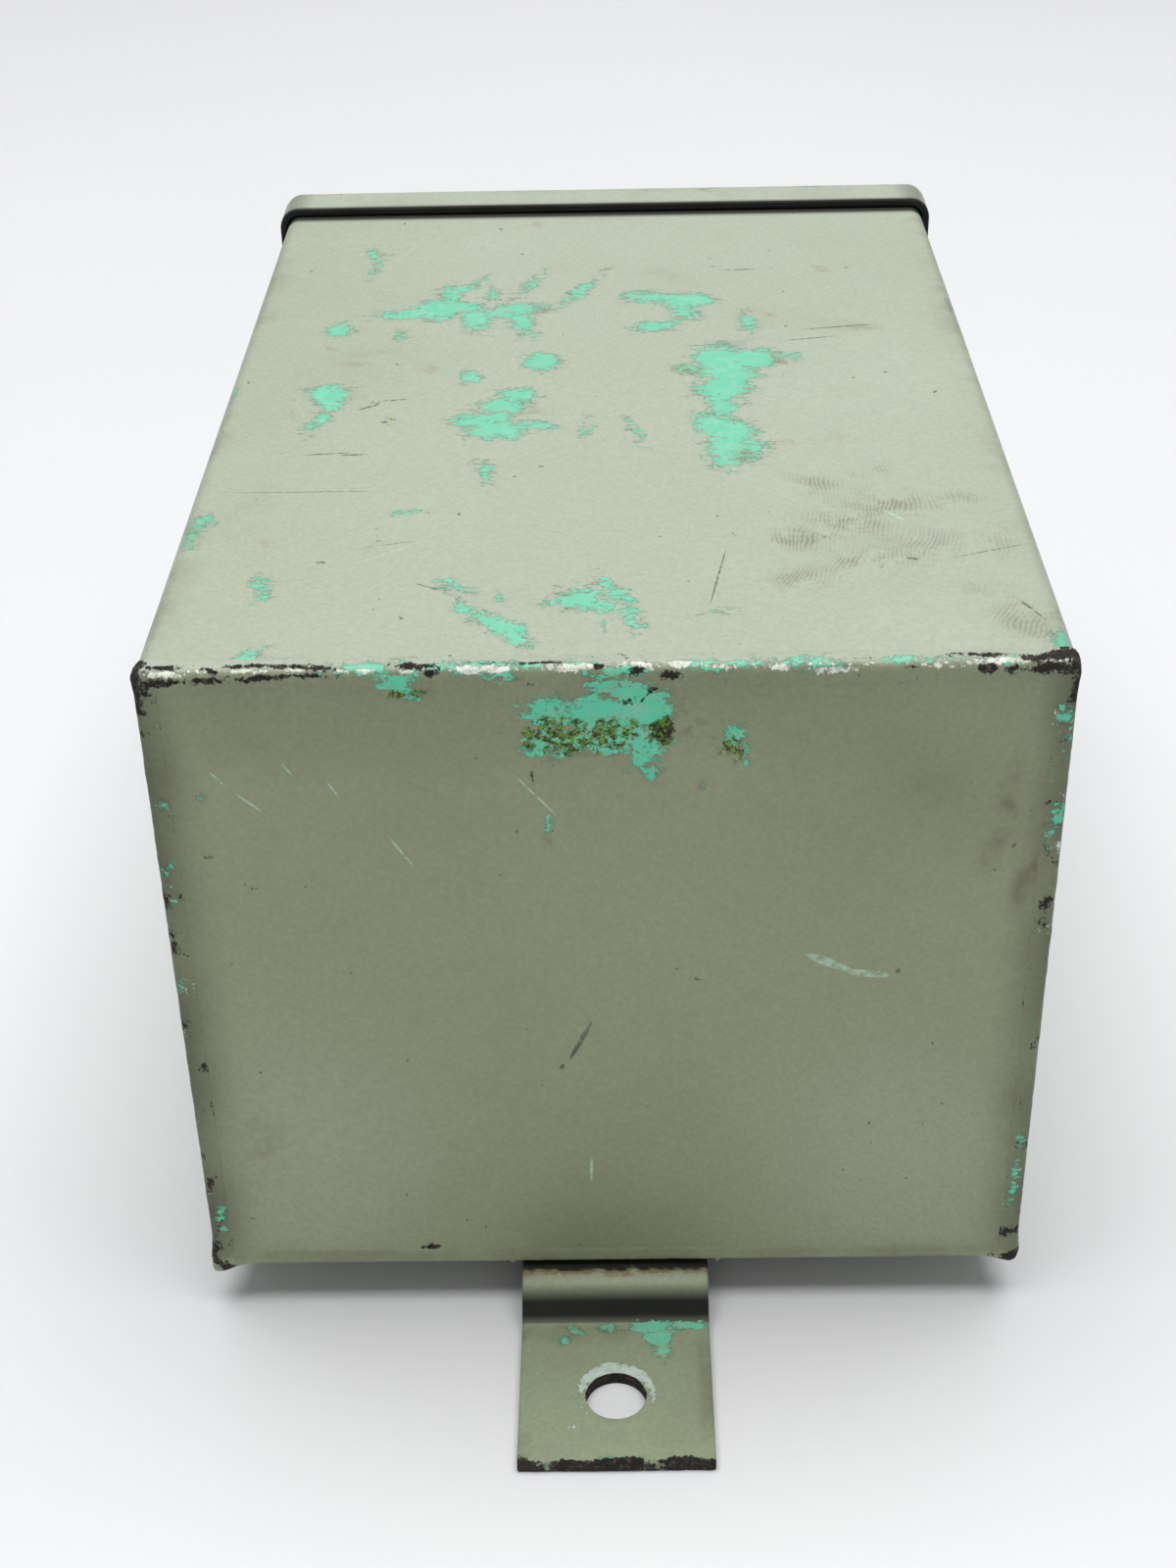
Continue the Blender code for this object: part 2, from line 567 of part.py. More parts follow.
def make_entry_seal(name, side):
    """Hole seal: gasket and dished cap outside, clamp bar inside, one screw through all."""
    outward = (0, side * math.pi / 2, 0)
    wall = side * BODY_WIDTH / 2

    def at(distance):
        return (wall + side * distance, ENTRY_Y, ENTRY_Z)

    thick, inner, outer = SEAL_GASKET_THICKNESS, SEAL_GASKET_INNER, SEAL_GASKET_OUTER
    ring = [(outer, thick), (outer, 0), (inner, 0), (inner, thick)]
    add_turned("entry_gasket_" + name, ring, NEOPRENE, at(GAP), outward, 32, closed=True)

    rim = (CAP_RADIUS - 0.4 * MM, CAP_HEIGHT / 2)
    cap = [(SEAL_SCREW_HOLE, CAP_HEIGHT), (CAP_FLAT, CAP_HEIGHT), rim, (CAP_RADIUS, 0), (SEAL_SCREW_HOLE, 0)]
    cap_place = SEAL_GASKET_THICKNESS + 2 * GAP
    add_turned("entry_cap_" + name, cap, GREY_ENAMEL, at(cap_place), outward, 32, closed=True)

    bar_place = -BODY_SHEET - GAP - BAR_THICKNESS / 2
    bar = rounded_rectangle(BAR_LENGTH, BAR_WIDTH, BAR_THICKNESS, 3)
    hole = circle((0, 0), SEAL_SCREW_HOLE, 16)
    add_plate("entry_bar_" + name, [bar, hole[::-1]], BAR_THICKNESS, ZINC, at(bar_place), outward)

    head_place = cap_place + CAP_HEIGHT + GAP
    length = head_place - bar_place + SEAL_SCREW_PAST
    shank, end = SEAL_SCREW_SHANK, SEAL_SCREW_SHANK - STUD_CHAMFER
    screw = [(0, SEAL_SCREW_HEAD), (2.4 * MM, 2.0 * MM), (3.8 * MM, 1.2 * MM), (4.2 * MM, 0), (shank, 0)]
    screw += [(shank, STUD_CHAMFER - length), (end, -length), (0, -length)]
    item = add_turned("entry_screw_" + name, screw, ZINC, at(head_place), outward, 16)
    slot = box_cutter("entry_slot_" + name, (2 * MM, 10 * MM, MM), at(head_place + SEAL_SCREW_HEAD))
    cut(item, slot)


# ---- panel and terminals ---------------------------------------------------------------------------------

def ear_centres():
    reach = POLES * POLE_PITCH / 2 + BARRIER / 2 + EAR_LENGTH / 2
    return [-reach, reach]


def terminal_xs():
    return [(i - (POLES - 1) / 2) * POLE_PITCH for i in range(POLES)]


def make_panel():
    edge = rounded_rectangle(PANEL_WIDTH, PANEL_HEIGHT, PANEL_CORNER)
    corners = [(sx * STUD_X, sz * STUD_Z) for sx in (-1, 1) for sz in (-1, 1)]
    holes = [circle(corner, STUD_RADIUS + 0.4 * MM, 16) for corner in corners]
    holes += [circle((x, BLOCK_RISE), BLOCK_SCREW_SHANK + 0.4 * MM, 16) for x in ear_centres()]
    holes.append(circle((GROUND_X, GROUND_Z), GROUND_HOLE, 16))
    centre = (0, PANEL_Y + BODY_SHEET / 2, MIDDLE_Z)
    outlines = [edge] + [hole[::-1] for hole in holes]
    add_plate("sub_panel", outlines, BODY_SHEET, ZINC, centre, STANDING)

    collar = PANEL_STANDOFF - 2 * GAP
    reach = collar + BODY_SHEET + STUD_END
    stud = [(0, reach), (STUD_RADIUS - STUD_CHAMFER, reach), (STUD_RADIUS, reach - STUD_CHAMFER)]
    stud += [(STUD_RADIUS, collar), (STUD_COLLAR, collar), (STUD_COLLAR, 0), (0, 0)]
    hexagon = circle((0, 0), PANEL_NUT, 6)
    bore = circle((0, 0), STUD_RADIUS + GAP, 16)
    nut_y = PANEL_FACE_Y + GAP + PANEL_NUT_THICKNESS / 2
    for sx, across in ((-1, "left"), (1, "right")):
        for sz, up in ((-1, "lower"), (1, "upper")):
            x, z = sx * STUD_X, MIDDLE_Z + sz * STUD_Z
            base = (x, REAR_Y + BODY_SHEET + GAP, z)
            add_turned(f"panel_stud_{up}_{across}", stud, ZINC, base, TOWARDS_COVER, 16)
            nut, where = [hexagon, bore[::-1]], (x, nut_y, z)
            add_plate(f"panel_nut_{up}_{across}", nut, PANEL_NUT_THICKNESS, ZINC, where, STANDING)


def comb_outline():
    """Block seen from above: ears, base and the barriers between the poles."""
    half = POLES * POLE_PITCH / 2 + BARRIER / 2
    points = [(half + EAR_LENGTH, 0), (half + EAR_LENGTH, EAR_DEPTH), (half, EAR_DEPTH)]
    for i in range(POLES, -1, -1):
        x = (i - POLES / 2) * POLE_PITCH
        right, left = x + BARRIER / 2, x - BARRIER / 2
        if i < POLES:
            points.append((right, BLOCK_BASE))
        points += [(right, BLOCK_DEPTH), (left, BLOCK_DEPTH)]
        if i > 0:
            points.append((left, BLOCK_BASE))
    points += [(-half, EAR_DEPTH), (-half - EAR_LENGTH, EAR_DEPTH), (-half - EAR_LENGTH, 0)]
    return points


def make_terminal_block():
    block = add_plate("terminal_block", [comb_outline()], BLOCK_HEIGHT, PHENOLIC, (0, BLOCK_Y, BLOCK_Z))
    ears = [(x, BLOCK_Y + EAR_DEPTH / 2, BLOCK_Z) for x in ear_centres()]
    cut(block, rod_cutter("ear_holes", ears, EAR_HOLE, 3 * EAR_DEPTH, STANDING, 16))
    rows = ((1, "upper"), (-1, "lower"))
    heights = [BLOCK_Z + side * TERMINAL_SCREW_Z for side, _ in rows]
    bores = [(x, BLOCK_FLOOR_Y, z) for x in terminal_xs() for z in heights]
    cut(block, rod_cutter("terminal_bores", bores, TERMINAL_BORE, 2 * TERMINAL_BORE_DEPTH, STANDING, 16))

    width = POLE_PITCH - BARRIER - 2 * LINK_CLEARANCE
    edge = rounded_rectangle(width, BLOCK_HEIGHT - 2 * LINK_INSET, 1.0 * MM, 2)
    plate = [edge] + [circle((0, side * TERMINAL_SCREW_Z), TERMINAL_BORE, 16)[::-1] for side, _ in rows]
    head_y = BLOCK_FLOOR_Y + LINK_THICKNESS + 2 * GAP
    plate_y = BLOCK_FLOOR_Y + GAP + LINK_THICKNESS / 2
    screw = small_screw(3.6 * MM, TERMINAL_SHANK, TERMINAL_BORE_DEPTH)
    for number, x in enumerate(terminal_xs(), 1):
        where = (x, plate_y, BLOCK_Z)
        add_plate(f"terminal_plate_{number}", plate, LINK_THICKNESS, BRASS, where, STANDING)
        for side, row in rows:
            where = (x, head_y, BLOCK_Z + side * TERMINAL_SCREW_Z)
            turn = math.radians(37 * number + 61 * side)
            add_small_screw(f"terminal_screw_{row}_{number}", screw, BRASS, where, turn)

    fixing = small_screw(3.8 * MM, BLOCK_SCREW_SHANK, EAR_DEPTH + BODY_SHEET + 4 * MM)
    for name, x in zip(("left", "right"), ear_centres()):
        add_small_screw("block_screw_" + name, fixing, ZINC, (x, BLOCK_Y + EAR_DEPTH + GAP, BLOCK_Z), 0.0)

    strip_size = (POLES * POLE_PITCH, STRIP_THICKNESS, STRIP_HEIGHT)
    strip_z = BLOCK_Z - BLOCK_HEIGHT / 2 - STRIP_DROP
    add_box("marker_strip", strip_size, FIBRE, (0, PANEL_FACE_Y + GAP + STRIP_THICKNESS / 2, strip_z))


def small_screw(head_radius, shank, length):
    """Profile of a binding-head screw."""
    end = shank - SMALL_CHAMFER
    profile = [(0, SMALL_HEAD_HEIGHT), (2.2 * MM, 2.2 * MM), (head_radius - 0.2 * MM, 1.3 * MM)]
    profile += [(head_radius, 0), (shank, 0), (shank, SMALL_CHAMFER - length), (end, -length), (0, -length)]
    return profile


def add_small_screw(name, profile, material, where, turn):
    """Binding-head screw, with its slot turned as the last wiring left it."""
    item = add_turned(name, profile, material, where, TOWARDS_COVER, 12)
    slot_centre = (where[0], where[1] + SMALL_HEAD_HEIGHT, where[2])
    return cut(item, box_cutter(name + "_slot", SMALL_SLOT, slot_centre, turn))


def make_ground_stud():
    """Grounding stud through the panel's lower edge, with a toothed washer and a nut."""
    z = MIDDLE_Z + GROUND_Z
    base_y = PANEL_Y - GAP - GROUND_HEAD
    reach = GROUND_HEAD + GAP + BODY_SHEET + GROUND_END
    stud = [(0, reach), (GROUND_RADIUS - STUD_CHAMFER, reach), (GROUND_RADIUS, reach - STUD_CHAMFER)]
    stud += [(GROUND_RADIUS, GROUND_HEAD), (GROUND_HEAD_RADIUS, GROUND_HEAD)]
    stud += [(GROUND_HEAD_RADIUS, 0), (0, 0)]
    add_turned("ground_stud", stud, BRASS, (GROUND_X, base_y, z), TOWARDS_COVER, 16)
    thick, washer_y = GROUND_WASHER_THICKNESS, PANEL_FACE_Y + GAP
    washer = [(GROUND_WASHER, thick), (GROUND_WASHER, 0), (GROUND_HOLE, 0), (GROUND_HOLE, thick)]
    add_turned("ground_washer", washer, ZINC, (GROUND_X, washer_y, z), TOWARDS_COVER, closed=True)
    nut_centre = (GROUND_X, washer_y + thick + GAP + GROUND_NUT_THICKNESS / 2, z)
    nut = [circle((0, 0), GROUND_NUT, 6), circle((0, 0), GROUND_RADIUS + GAP, 16)[::-1]]
    add_plate("ground_nut", nut, GROUND_NUT_THICKNESS, BRASS, nut_centre, STANDING)


make_body()
make_feet()
make_cover()
make_cover_fastening()
make_entry_seal("left", -1)
make_entry_seal("right", 1)
make_panel()
make_terminal_block()
make_ground_stud()
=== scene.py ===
"""Looks of the sheet-steel junction box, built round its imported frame.

Every mesh is made in the frame's own coordinates, in metres: +Z is up and +Y runs from the welded rear
wall to the cover. Object coordinates in a material are therefore places on the box.
"""

import math
import random

import bmesh
import bpy
import numpy as np
from mathutils import Matrix, Vector, noise


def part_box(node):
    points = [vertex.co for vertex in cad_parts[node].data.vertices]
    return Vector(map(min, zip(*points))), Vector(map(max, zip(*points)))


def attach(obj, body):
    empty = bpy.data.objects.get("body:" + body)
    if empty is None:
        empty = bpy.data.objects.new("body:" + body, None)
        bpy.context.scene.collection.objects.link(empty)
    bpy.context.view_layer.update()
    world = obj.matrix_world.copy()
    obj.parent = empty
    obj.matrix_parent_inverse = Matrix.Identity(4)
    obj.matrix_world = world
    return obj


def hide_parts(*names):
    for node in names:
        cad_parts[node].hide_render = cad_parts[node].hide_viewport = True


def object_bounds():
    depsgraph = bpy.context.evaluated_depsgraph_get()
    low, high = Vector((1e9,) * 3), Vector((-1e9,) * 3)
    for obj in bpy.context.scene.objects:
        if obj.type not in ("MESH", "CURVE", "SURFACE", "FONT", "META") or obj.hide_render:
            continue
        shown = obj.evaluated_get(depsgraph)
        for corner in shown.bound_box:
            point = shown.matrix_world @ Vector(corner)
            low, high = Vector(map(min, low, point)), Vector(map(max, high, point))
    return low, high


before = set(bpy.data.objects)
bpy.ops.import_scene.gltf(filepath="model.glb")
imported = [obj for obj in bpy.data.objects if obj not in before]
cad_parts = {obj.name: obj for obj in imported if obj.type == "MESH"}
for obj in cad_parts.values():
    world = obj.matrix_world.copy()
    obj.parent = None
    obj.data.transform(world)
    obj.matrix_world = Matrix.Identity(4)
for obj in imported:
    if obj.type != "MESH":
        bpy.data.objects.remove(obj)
CAD_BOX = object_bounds()

MM = 0.001
RIGHT = Vector((1, 0, 0))
AWAY = Vector((0, 1, 0))
UP = Vector((0, 0, 1))

# Places read from the frame.
WRAP_LOW, WRAP_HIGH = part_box("body_wrap")
WALL_LOW, WALL_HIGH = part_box("rear_wall")
COVER_LOW, COVER_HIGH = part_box("cover")
PANEL_LOW, PANEL_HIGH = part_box("sub_panel")
BLOCK_LOW, BLOCK_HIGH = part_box("terminal_block")
HALF_WIDTH = WRAP_HIGH.x
HALF_HEIGHT = (WRAP_HIGH.z - WRAP_LOW.z) / 2
MIDDLE = (WRAP_HIGH.z + WRAP_LOW.z) / 2
TOP = WRAP_HIGH.z
UNDERSIDE = WRAP_LOW.z
REAR = WALL_LOW.y
SHEET = WALL_HIGH.y - WALL_LOW.y
MOUTH = WRAP_HIGH.y

# Sizes of the sheet metal that the boxes don't give.
BODY_BEND = 2.2 * MM
COVER_SHEET = 1.2 * MM
COVER_CORNER = 3.4 * MM
COVER_BEND = 1.8 * MM
BURR = 0.22 * MM                   # rounding of a sheared edge under paint
FACE_STEP = 1.6 * MM               # mesh spacing on the big faces
NO_MARK = -9.0                     # field depth that no noise can reach
UNDIVIDED = 300 * MM               # step longer than any straight side


# ---- materials -------------------------------------------------------------------------------------------

class Shader:
    """A material's node tree, with short calls for the nodes that the finishes share."""

    def __init__(self, name):
        self.material = bpy.data.materials.new(name)
        self.material.use_nodes = True
        self.tree = self.material.node_tree
        self.principled = self.tree.nodes["Principled BSDF"]
        self.place = self.tree.nodes.new("ShaderNodeTexCoord").outputs["Object"]

    def feed(self, socket, value):
        if isinstance(value, bpy.types.NodeSocket):
            self.tree.links.new(value, socket)
        else:
            socket.default_value = value

    def node(self, kind, inputs, output=0, **settings):
        node = self.tree.nodes.new("ShaderNode" + kind)
        for name, value in settings.items():
            setattr(node, name, value)
        for key, value in inputs.items():
            self.feed(node.inputs[key], value)
        return node.outputs[output]

    def math(self, operation, a, b=0.0):
        return self.node("Math", {0: a, 1: b}, operation=operation)

    def sum(self, *terms):
        total = terms[0]
        for term in terms[1:]:
            total = self.math("ADD", total, term)
        return total

    def noise(self, scale, detail=3.0, roughness=0.5, where=None):
        inputs = {"Vector": where or self.place, "Scale": scale, "Detail": detail, "Roughness": roughness}
        return self.node("TexNoise", inputs)

    def swing(self, scale, amount, detail=3.0, roughness=0.5, where=None):
        """Noise about zero, reaching roughly plus and minus amount."""
        return self.math("MULTIPLY", self.math("SUBTRACT", self.noise(scale, detail, roughness, where), 0.5),
                         4 * amount)

    def ramp(self, value, low, high, to_low=0.0, to_high=1.0):
        inputs = {"Value": value, "From Min": low, "From Max": high, "To Min": to_low, "To Max": to_high}
        return self.node("MapRange", inputs, interpolation_type="SMOOTHSTEP")

    def mix(self, factor, a, b, blend="MIX"):
        a, b = (c if isinstance(c, bpy.types.NodeSocket) else (*c, 1.0) for c in (a, b))
        return self.node("Mix", {0: factor, 6: a, 7: b}, output=2, data_type="RGBA", blend_type=blend)

    def field(self, name):
        """A depth or strength that the mesh carries."""
        return self.node("Attribute", {}, output=2, attribute_name=name)

    def stretched(self, scale):
        return self.node("Mapping", {"Vector": self.place, "Scale": scale})

    def stroke(self, mark):
        """1 on a thin mark's middle line, falling to 0 at its edge: a long, narrow ellipsoid."""
        centre, half_length, half_width, rotation = mark
        size = (half_length * MM, half_width * MM, half_width * MM)
        place = self.node("Mapping", {"Vector": self.place, "Location": centre, "Rotation": rotation,
                                      "Scale": size}, vector_type="TEXTURE")
        reach = self.node("VectorMath", {0: place}, output=1, operation="LENGTH")
        return self.math("SUBTRACT", 1.0, reach)

    def strokes(self, marks):
        best = self.stroke(marks[0])
        for mark in marks[1:]:
            best = self.math("MAXIMUM", best, self.stroke(mark))
        return best

    def finish(self, colour, roughness, height=None, metallic=0.0, specular=0.5):
        self.feed(self.principled.inputs["Base Color"], colour)
        self.feed(self.principled.inputs["Roughness"], roughness)
        self.feed(self.principled.inputs["Metallic"], metallic)
        self.principled.inputs["Specular IOR Level"].default_value = specular
        if height is not None:
            bump = self.node("Bump", {"Height": height, "Distance": MM, "Strength": 1.0})
            self.feed(self.principled.inputs["Normal"], bump)
        return self.material


TOPCOAT_LIGHT = (0.405, 0.452, 0.358)
TOPCOAT_DARK = (0.350, 0.395, 0.300)
TOPCOAT_OLIVE = (0.300, 0.330, 0.210)
# The next two colours are a darker, more olive copy of the topcoat: painted shade for faces that the main
# light misses, such as the rear wall.
SHADED_LIGHT = (0.305, 0.342, 0.214)
SHADED_DARK = (0.250, 0.278, 0.160)
# The next two colours are a darker copy of the topcoat for the feet: painted shade that dims the pads under
# the overhead light.
FOOT_SHADED_LIGHT = (0.300, 0.350, 0.235)
FOOT_SHADED_DARK = (0.245, 0.285, 0.180)
MINT = (0.135, 0.520, 0.335)
MINT_PALE = (0.210, 0.570, 0.400)
# Copy of the mint for faces with painted shade, brighter so that chips there stay bright.
MINT_SHADED = (0.085, 0.600, 0.375)
PRIMER = (0.560, 0.590, 0.470)
PRIMER_PALE = (0.760, 0.780, 0.680)
FOOT_PRIMER = (0.380, 0.450, 0.380)
FOOT_PRIMER_PALE = (0.500, 0.580, 0.520)
STEEL_BLACK = (0.010, 0.009, 0.008)
STEEL_BROWN = (0.085, 0.060, 0.045)
BROWN = (0.120, 0.092, 0.060)
RUST = (0.210, 0.125, 0.035)
MOSS = (0.120, 0.280, 0.022)
MOSS_DARK = (0.030, 0.022, 0.010)
# Near black for painted shade and painted shadow.
SHADE_BLACK = (0.006, 0.006, 0.004)


def enamel(name, light=TOPCOAT_LIGHT, dark=TOPCOAT_DARK, pale_marks=(), dark_marks=(), ragged=1.0,
           peel=0.010, primer_dark=PRIMER, primer_light=PRIMER_PALE):
    """Grey topcoat over mint enamel, primer and steel, each lost where the mesh's fields say so. Two fields
    also paint shade: one swaps in darker copies of the topcoat and mint, and one blends towards near black
    for painted shade and painted shadow.
    """
    s = Shader(name)
    streaked = s.stretched((0.6, 1.1, 1.0))
    torn = s.sum(s.swing(480, 0.95 * ragged, 4, 0.65, streaked),
                 s.swing(1250, 1.75 * ragged, 6, 0.82, streaked))
    torn_primer = s.sum(s.swing(460, 0.50 * ragged, 4, 0.65), s.swing(1500, 0.80 * ragged, 6, 0.75))
    torn_bare = s.sum(s.swing(420, 0.50 * ragged, 5, 0.65), s.swing(1700, 0.80 * ragged, 6, 0.75))
    mint_depth = s.math("ADD", s.field("mint"), torn)
    mint = s.ramp(mint_depth, 0.0, 0.06)
    rim = s.math("SUBTRACT", s.ramp(mint_depth, -1.1, -0.05), mint)
    primer = s.ramp(s.math("ADD", s.field("primer"), torn_primer), 0.0, 0.08)
    bare = s.ramp(s.math("ADD", s.field("bare"), torn_bare), 0.0, 0.10)
    shaded = s.field("shaded")

    # Painted shade: where the 'shaded' field is above 0 the topcoat gives way to its darker shaded copy.
    near, far = s.mix(shaded, dark, SHADED_DARK), s.mix(shaded, light, SHADED_LIGHT)
    tone = s.mix(s.noise(26, 3, 0.55), near, far)
    tone = s.mix(s.ramp(s.noise(64, 4, 0.6), 0.52, 0.80, 0.0, 0.22), tone, TOPCOAT_OLIVE)
    mottle = s.ramp(s.noise(1500, 4, 0.7), 0.30, 0.72, 0.90, 1.05)
    tone = s.mix(1.0, tone, s.node("CombineColor", {0: mottle, 1: mottle, 2: mottle}), "MULTIPLY")
    specks = s.ramp(s.noise(620, 2, 0.4), 0.765, 0.785, 0.0, 0.8)
    tone = s.mix(specks, tone, BROWN)
    rim_strength = s.math("MULTIPLY", rim, s.ramp(s.noise(420, 6, 0.7, streaked), 0.52, 0.62, 0.0, 0.48))
    tone = s.mix(rim_strength, tone, BROWN)
    # Painted shade and painted shadow: the colour blends towards near black as far as the mesh's field asks.
    tone = s.mix(s.field("soot"), tone, SHADE_BLACK)
    # On faces with painted shade the mint takes its brighter shaded copy.
    mint_tone = s.mix(s.ramp(s.noise(520, 4, 0.7), 0.40, 0.75), s.mix(shaded, MINT, MINT_SHADED), MINT_PALE)
    mint_tone = s.mix(s.ramp(s.noise(1400, 5, 0.75), 0.58, 0.64, 0.0, 0.6), mint_tone, far)
    smudged = s.math("MULTIPLY", s.ramp(mint_depth, 1.3, 0.2),
                     s.ramp(s.noise(560, 6, 0.75, streaked), 0.50, 0.60))
    mint_tone = s.mix(s.math("MULTIPLY", smudged, 0.55), mint_tone, TOPCOAT_OLIVE)
    colour = s.mix(mint, tone, mint_tone)
    primer_tone = s.mix(s.ramp(s.noise(900, 4, 0.6), 0.35, 0.60), primer_dark, primer_light)
    colour = s.mix(primer, colour, primer_tone)
    steel = s.mix(s.ramp(s.noise(1100, 5, 0.7), 0.50, 0.66), STEEL_BLACK, STEEL_BROWN)
    colour = s.mix(bare, colour, steel)
    rust = s.math("MULTIPLY", s.field("rust"), s.ramp(s.noise(1000, 4, 0.6), 0.38, 0.52))
    colour = s.mix(rust, colour, RUST)

    smear = s.ramp(s.noise(75, 7, 0.68), 0.42, 0.64)
    grime = s.math("MULTIPLY", s.field("grime"), s.math("ADD", 0.22, smear))
    grime = s.math("MULTIPLY", grime, s.math("SUBTRACT", 1.0, s.field("soot")))
    colour = s.mix(s.ramp(grime, 0.0, 1.3, 0.0, 0.80), colour, BROWN)
    centre = s.node("Mapping", {"Vector": s.place, "Location": (0.052, 0.034, -0.1009)})
    ridges = s.node("TexWave", {"Vector": centre, "Scale": 540, "Distortion": 16.0, "Detail": 2.0,
                                "Detail Scale": 0.22},
                    output=1, wave_type="RINGS", rings_direction="SPHERICAL")
    touched = s.math("MULTIPLY", s.field("prints"), s.ramp(s.noise(130, 8, 0.78), 0.38, 0.58))
    touched = s.math("MULTIPLY", touched, s.ramp(ridges, 0.15, 0.85, 0.52, 1.0))
    colour = s.mix(s.ramp(touched, 0.05, 1.1, 0.0, 0.58), colour, BROWN)
    moss = s.math("MULTIPLY", s.field("moss"), s.ramp(s.noise(800, 6, 0.78), 0.45, 0.54))
    moss_tone = s.mix(s.ramp(s.noise(1900, 4, 0.75), 0.47, 0.54), MOSS, MOSS_DARK)
    colour = s.mix(s.ramp(moss, 0.25, 0.55), colour, moss_tone)

    breaks = s.ramp(s.noise(1300, 3, 0.6), 0.32, 0.55)
    for marks, shade in ((pale_marks, (0.42, 0.60, 0.46)), (dark_marks, (0.05, 0.055, 0.035))):
        if marks:
            line = s.math("MULTIPLY", s.ramp(s.strokes(marks), 0.0, 0.35), breaks)
            colour = s.mix(s.math("MULTIPLY", line, 0.8), colour, shade)

    film = s.math("MULTIPLY", s.math("ADD", mint, primer), -0.05)
    skin = s.math("ADD", s.math("MULTIPLY", s.field("peel"), 0.045), peel)
    peel_height = s.math("MULTIPLY", s.noise(1150, 2, 0.45), skin)
    pits = s.math("MULTIPLY", s.math("MULTIPLY", bare, s.noise(1700, 5, 0.7)), 0.22)
    height = s.sum(film, peel_height, pits, s.math("MULTIPLY", s.noise(240, 2), 0.030))
    worn = s.math("MULTIPLY", s.math("MAXIMUM", bare, s.field("soot")), 0.40)
    dull = s.sum(s.ramp(s.noise(180, 4, 0.6), 0.3, 0.7, 0.40, 0.52), worn)
    return s.finish(colour, dull, height, specular=0.40)


def plated(name, light, dark, roughness=0.34, stain=(0.30, 0.27, 0.20)):
    """Bright plated or turned metal with tarnish in patches."""
    s = Shader(name)
    tone = s.mix(s.noise(240, 4, 0.6), dark, light)
    tone = s.mix(s.ramp(s.noise(620, 5, 0.7), 0.55, 0.75, 0.0, 0.6), tone, stain)
    rough = s.ramp(s.noise(500, 4), 0.3, 0.7, roughness - 0.08, roughness + 0.14)
    fine = s.noise(2600, 2, 0.5, s.stretched((1.0, 6.0, 1.0)))
    return s.finish(tone, rough, s.math("MULTIPLY", fine, 0.006), metallic=1.0)


def moulded(name, light, dark, roughness, grain=0.010, specular=0.4):
    """Rubber, phenolic or fibre: dull, slightly uneven in tone, with a fine grain."""
    s = Shader(name)
    tone = s.mix(s.noise(300, 5, 0.65), dark, light)
    dust = s.ramp(s.noise(150, 5, 0.7), 0.5, 0.8, 0.0, 0.22)
    tone = s.mix(dust, tone, (0.25, 0.23, 0.19))
    rough = s.ramp(s.noise(420, 3), 0.3, 0.7, roughness - 0.07, roughness + 0.10)
    return s.finish(tone, rough, s.math("MULTIPLY", s.noise(2100, 3, 0.6), grain), specular=specular)


def white_enamel(name):
    """Stoved white enamel of the inner panel, yellowed and lightly scuffed."""
    s = Shader(name)
    tone = s.mix(s.noise(40, 4, 0.6), (0.62, 0.61, 0.53), (0.74, 0.73, 0.67))
    tone = s.mix(s.ramp(s.noise(300, 6, 0.75), 0.60, 0.72, 0.0, 0.5), tone, BROWN)
    rough = s.ramp(s.noise(160, 4), 0.3, 0.7, 0.28, 0.42)
    return s.finish(tone, rough, s.math("MULTIPLY", s.noise(900, 2), 0.010))
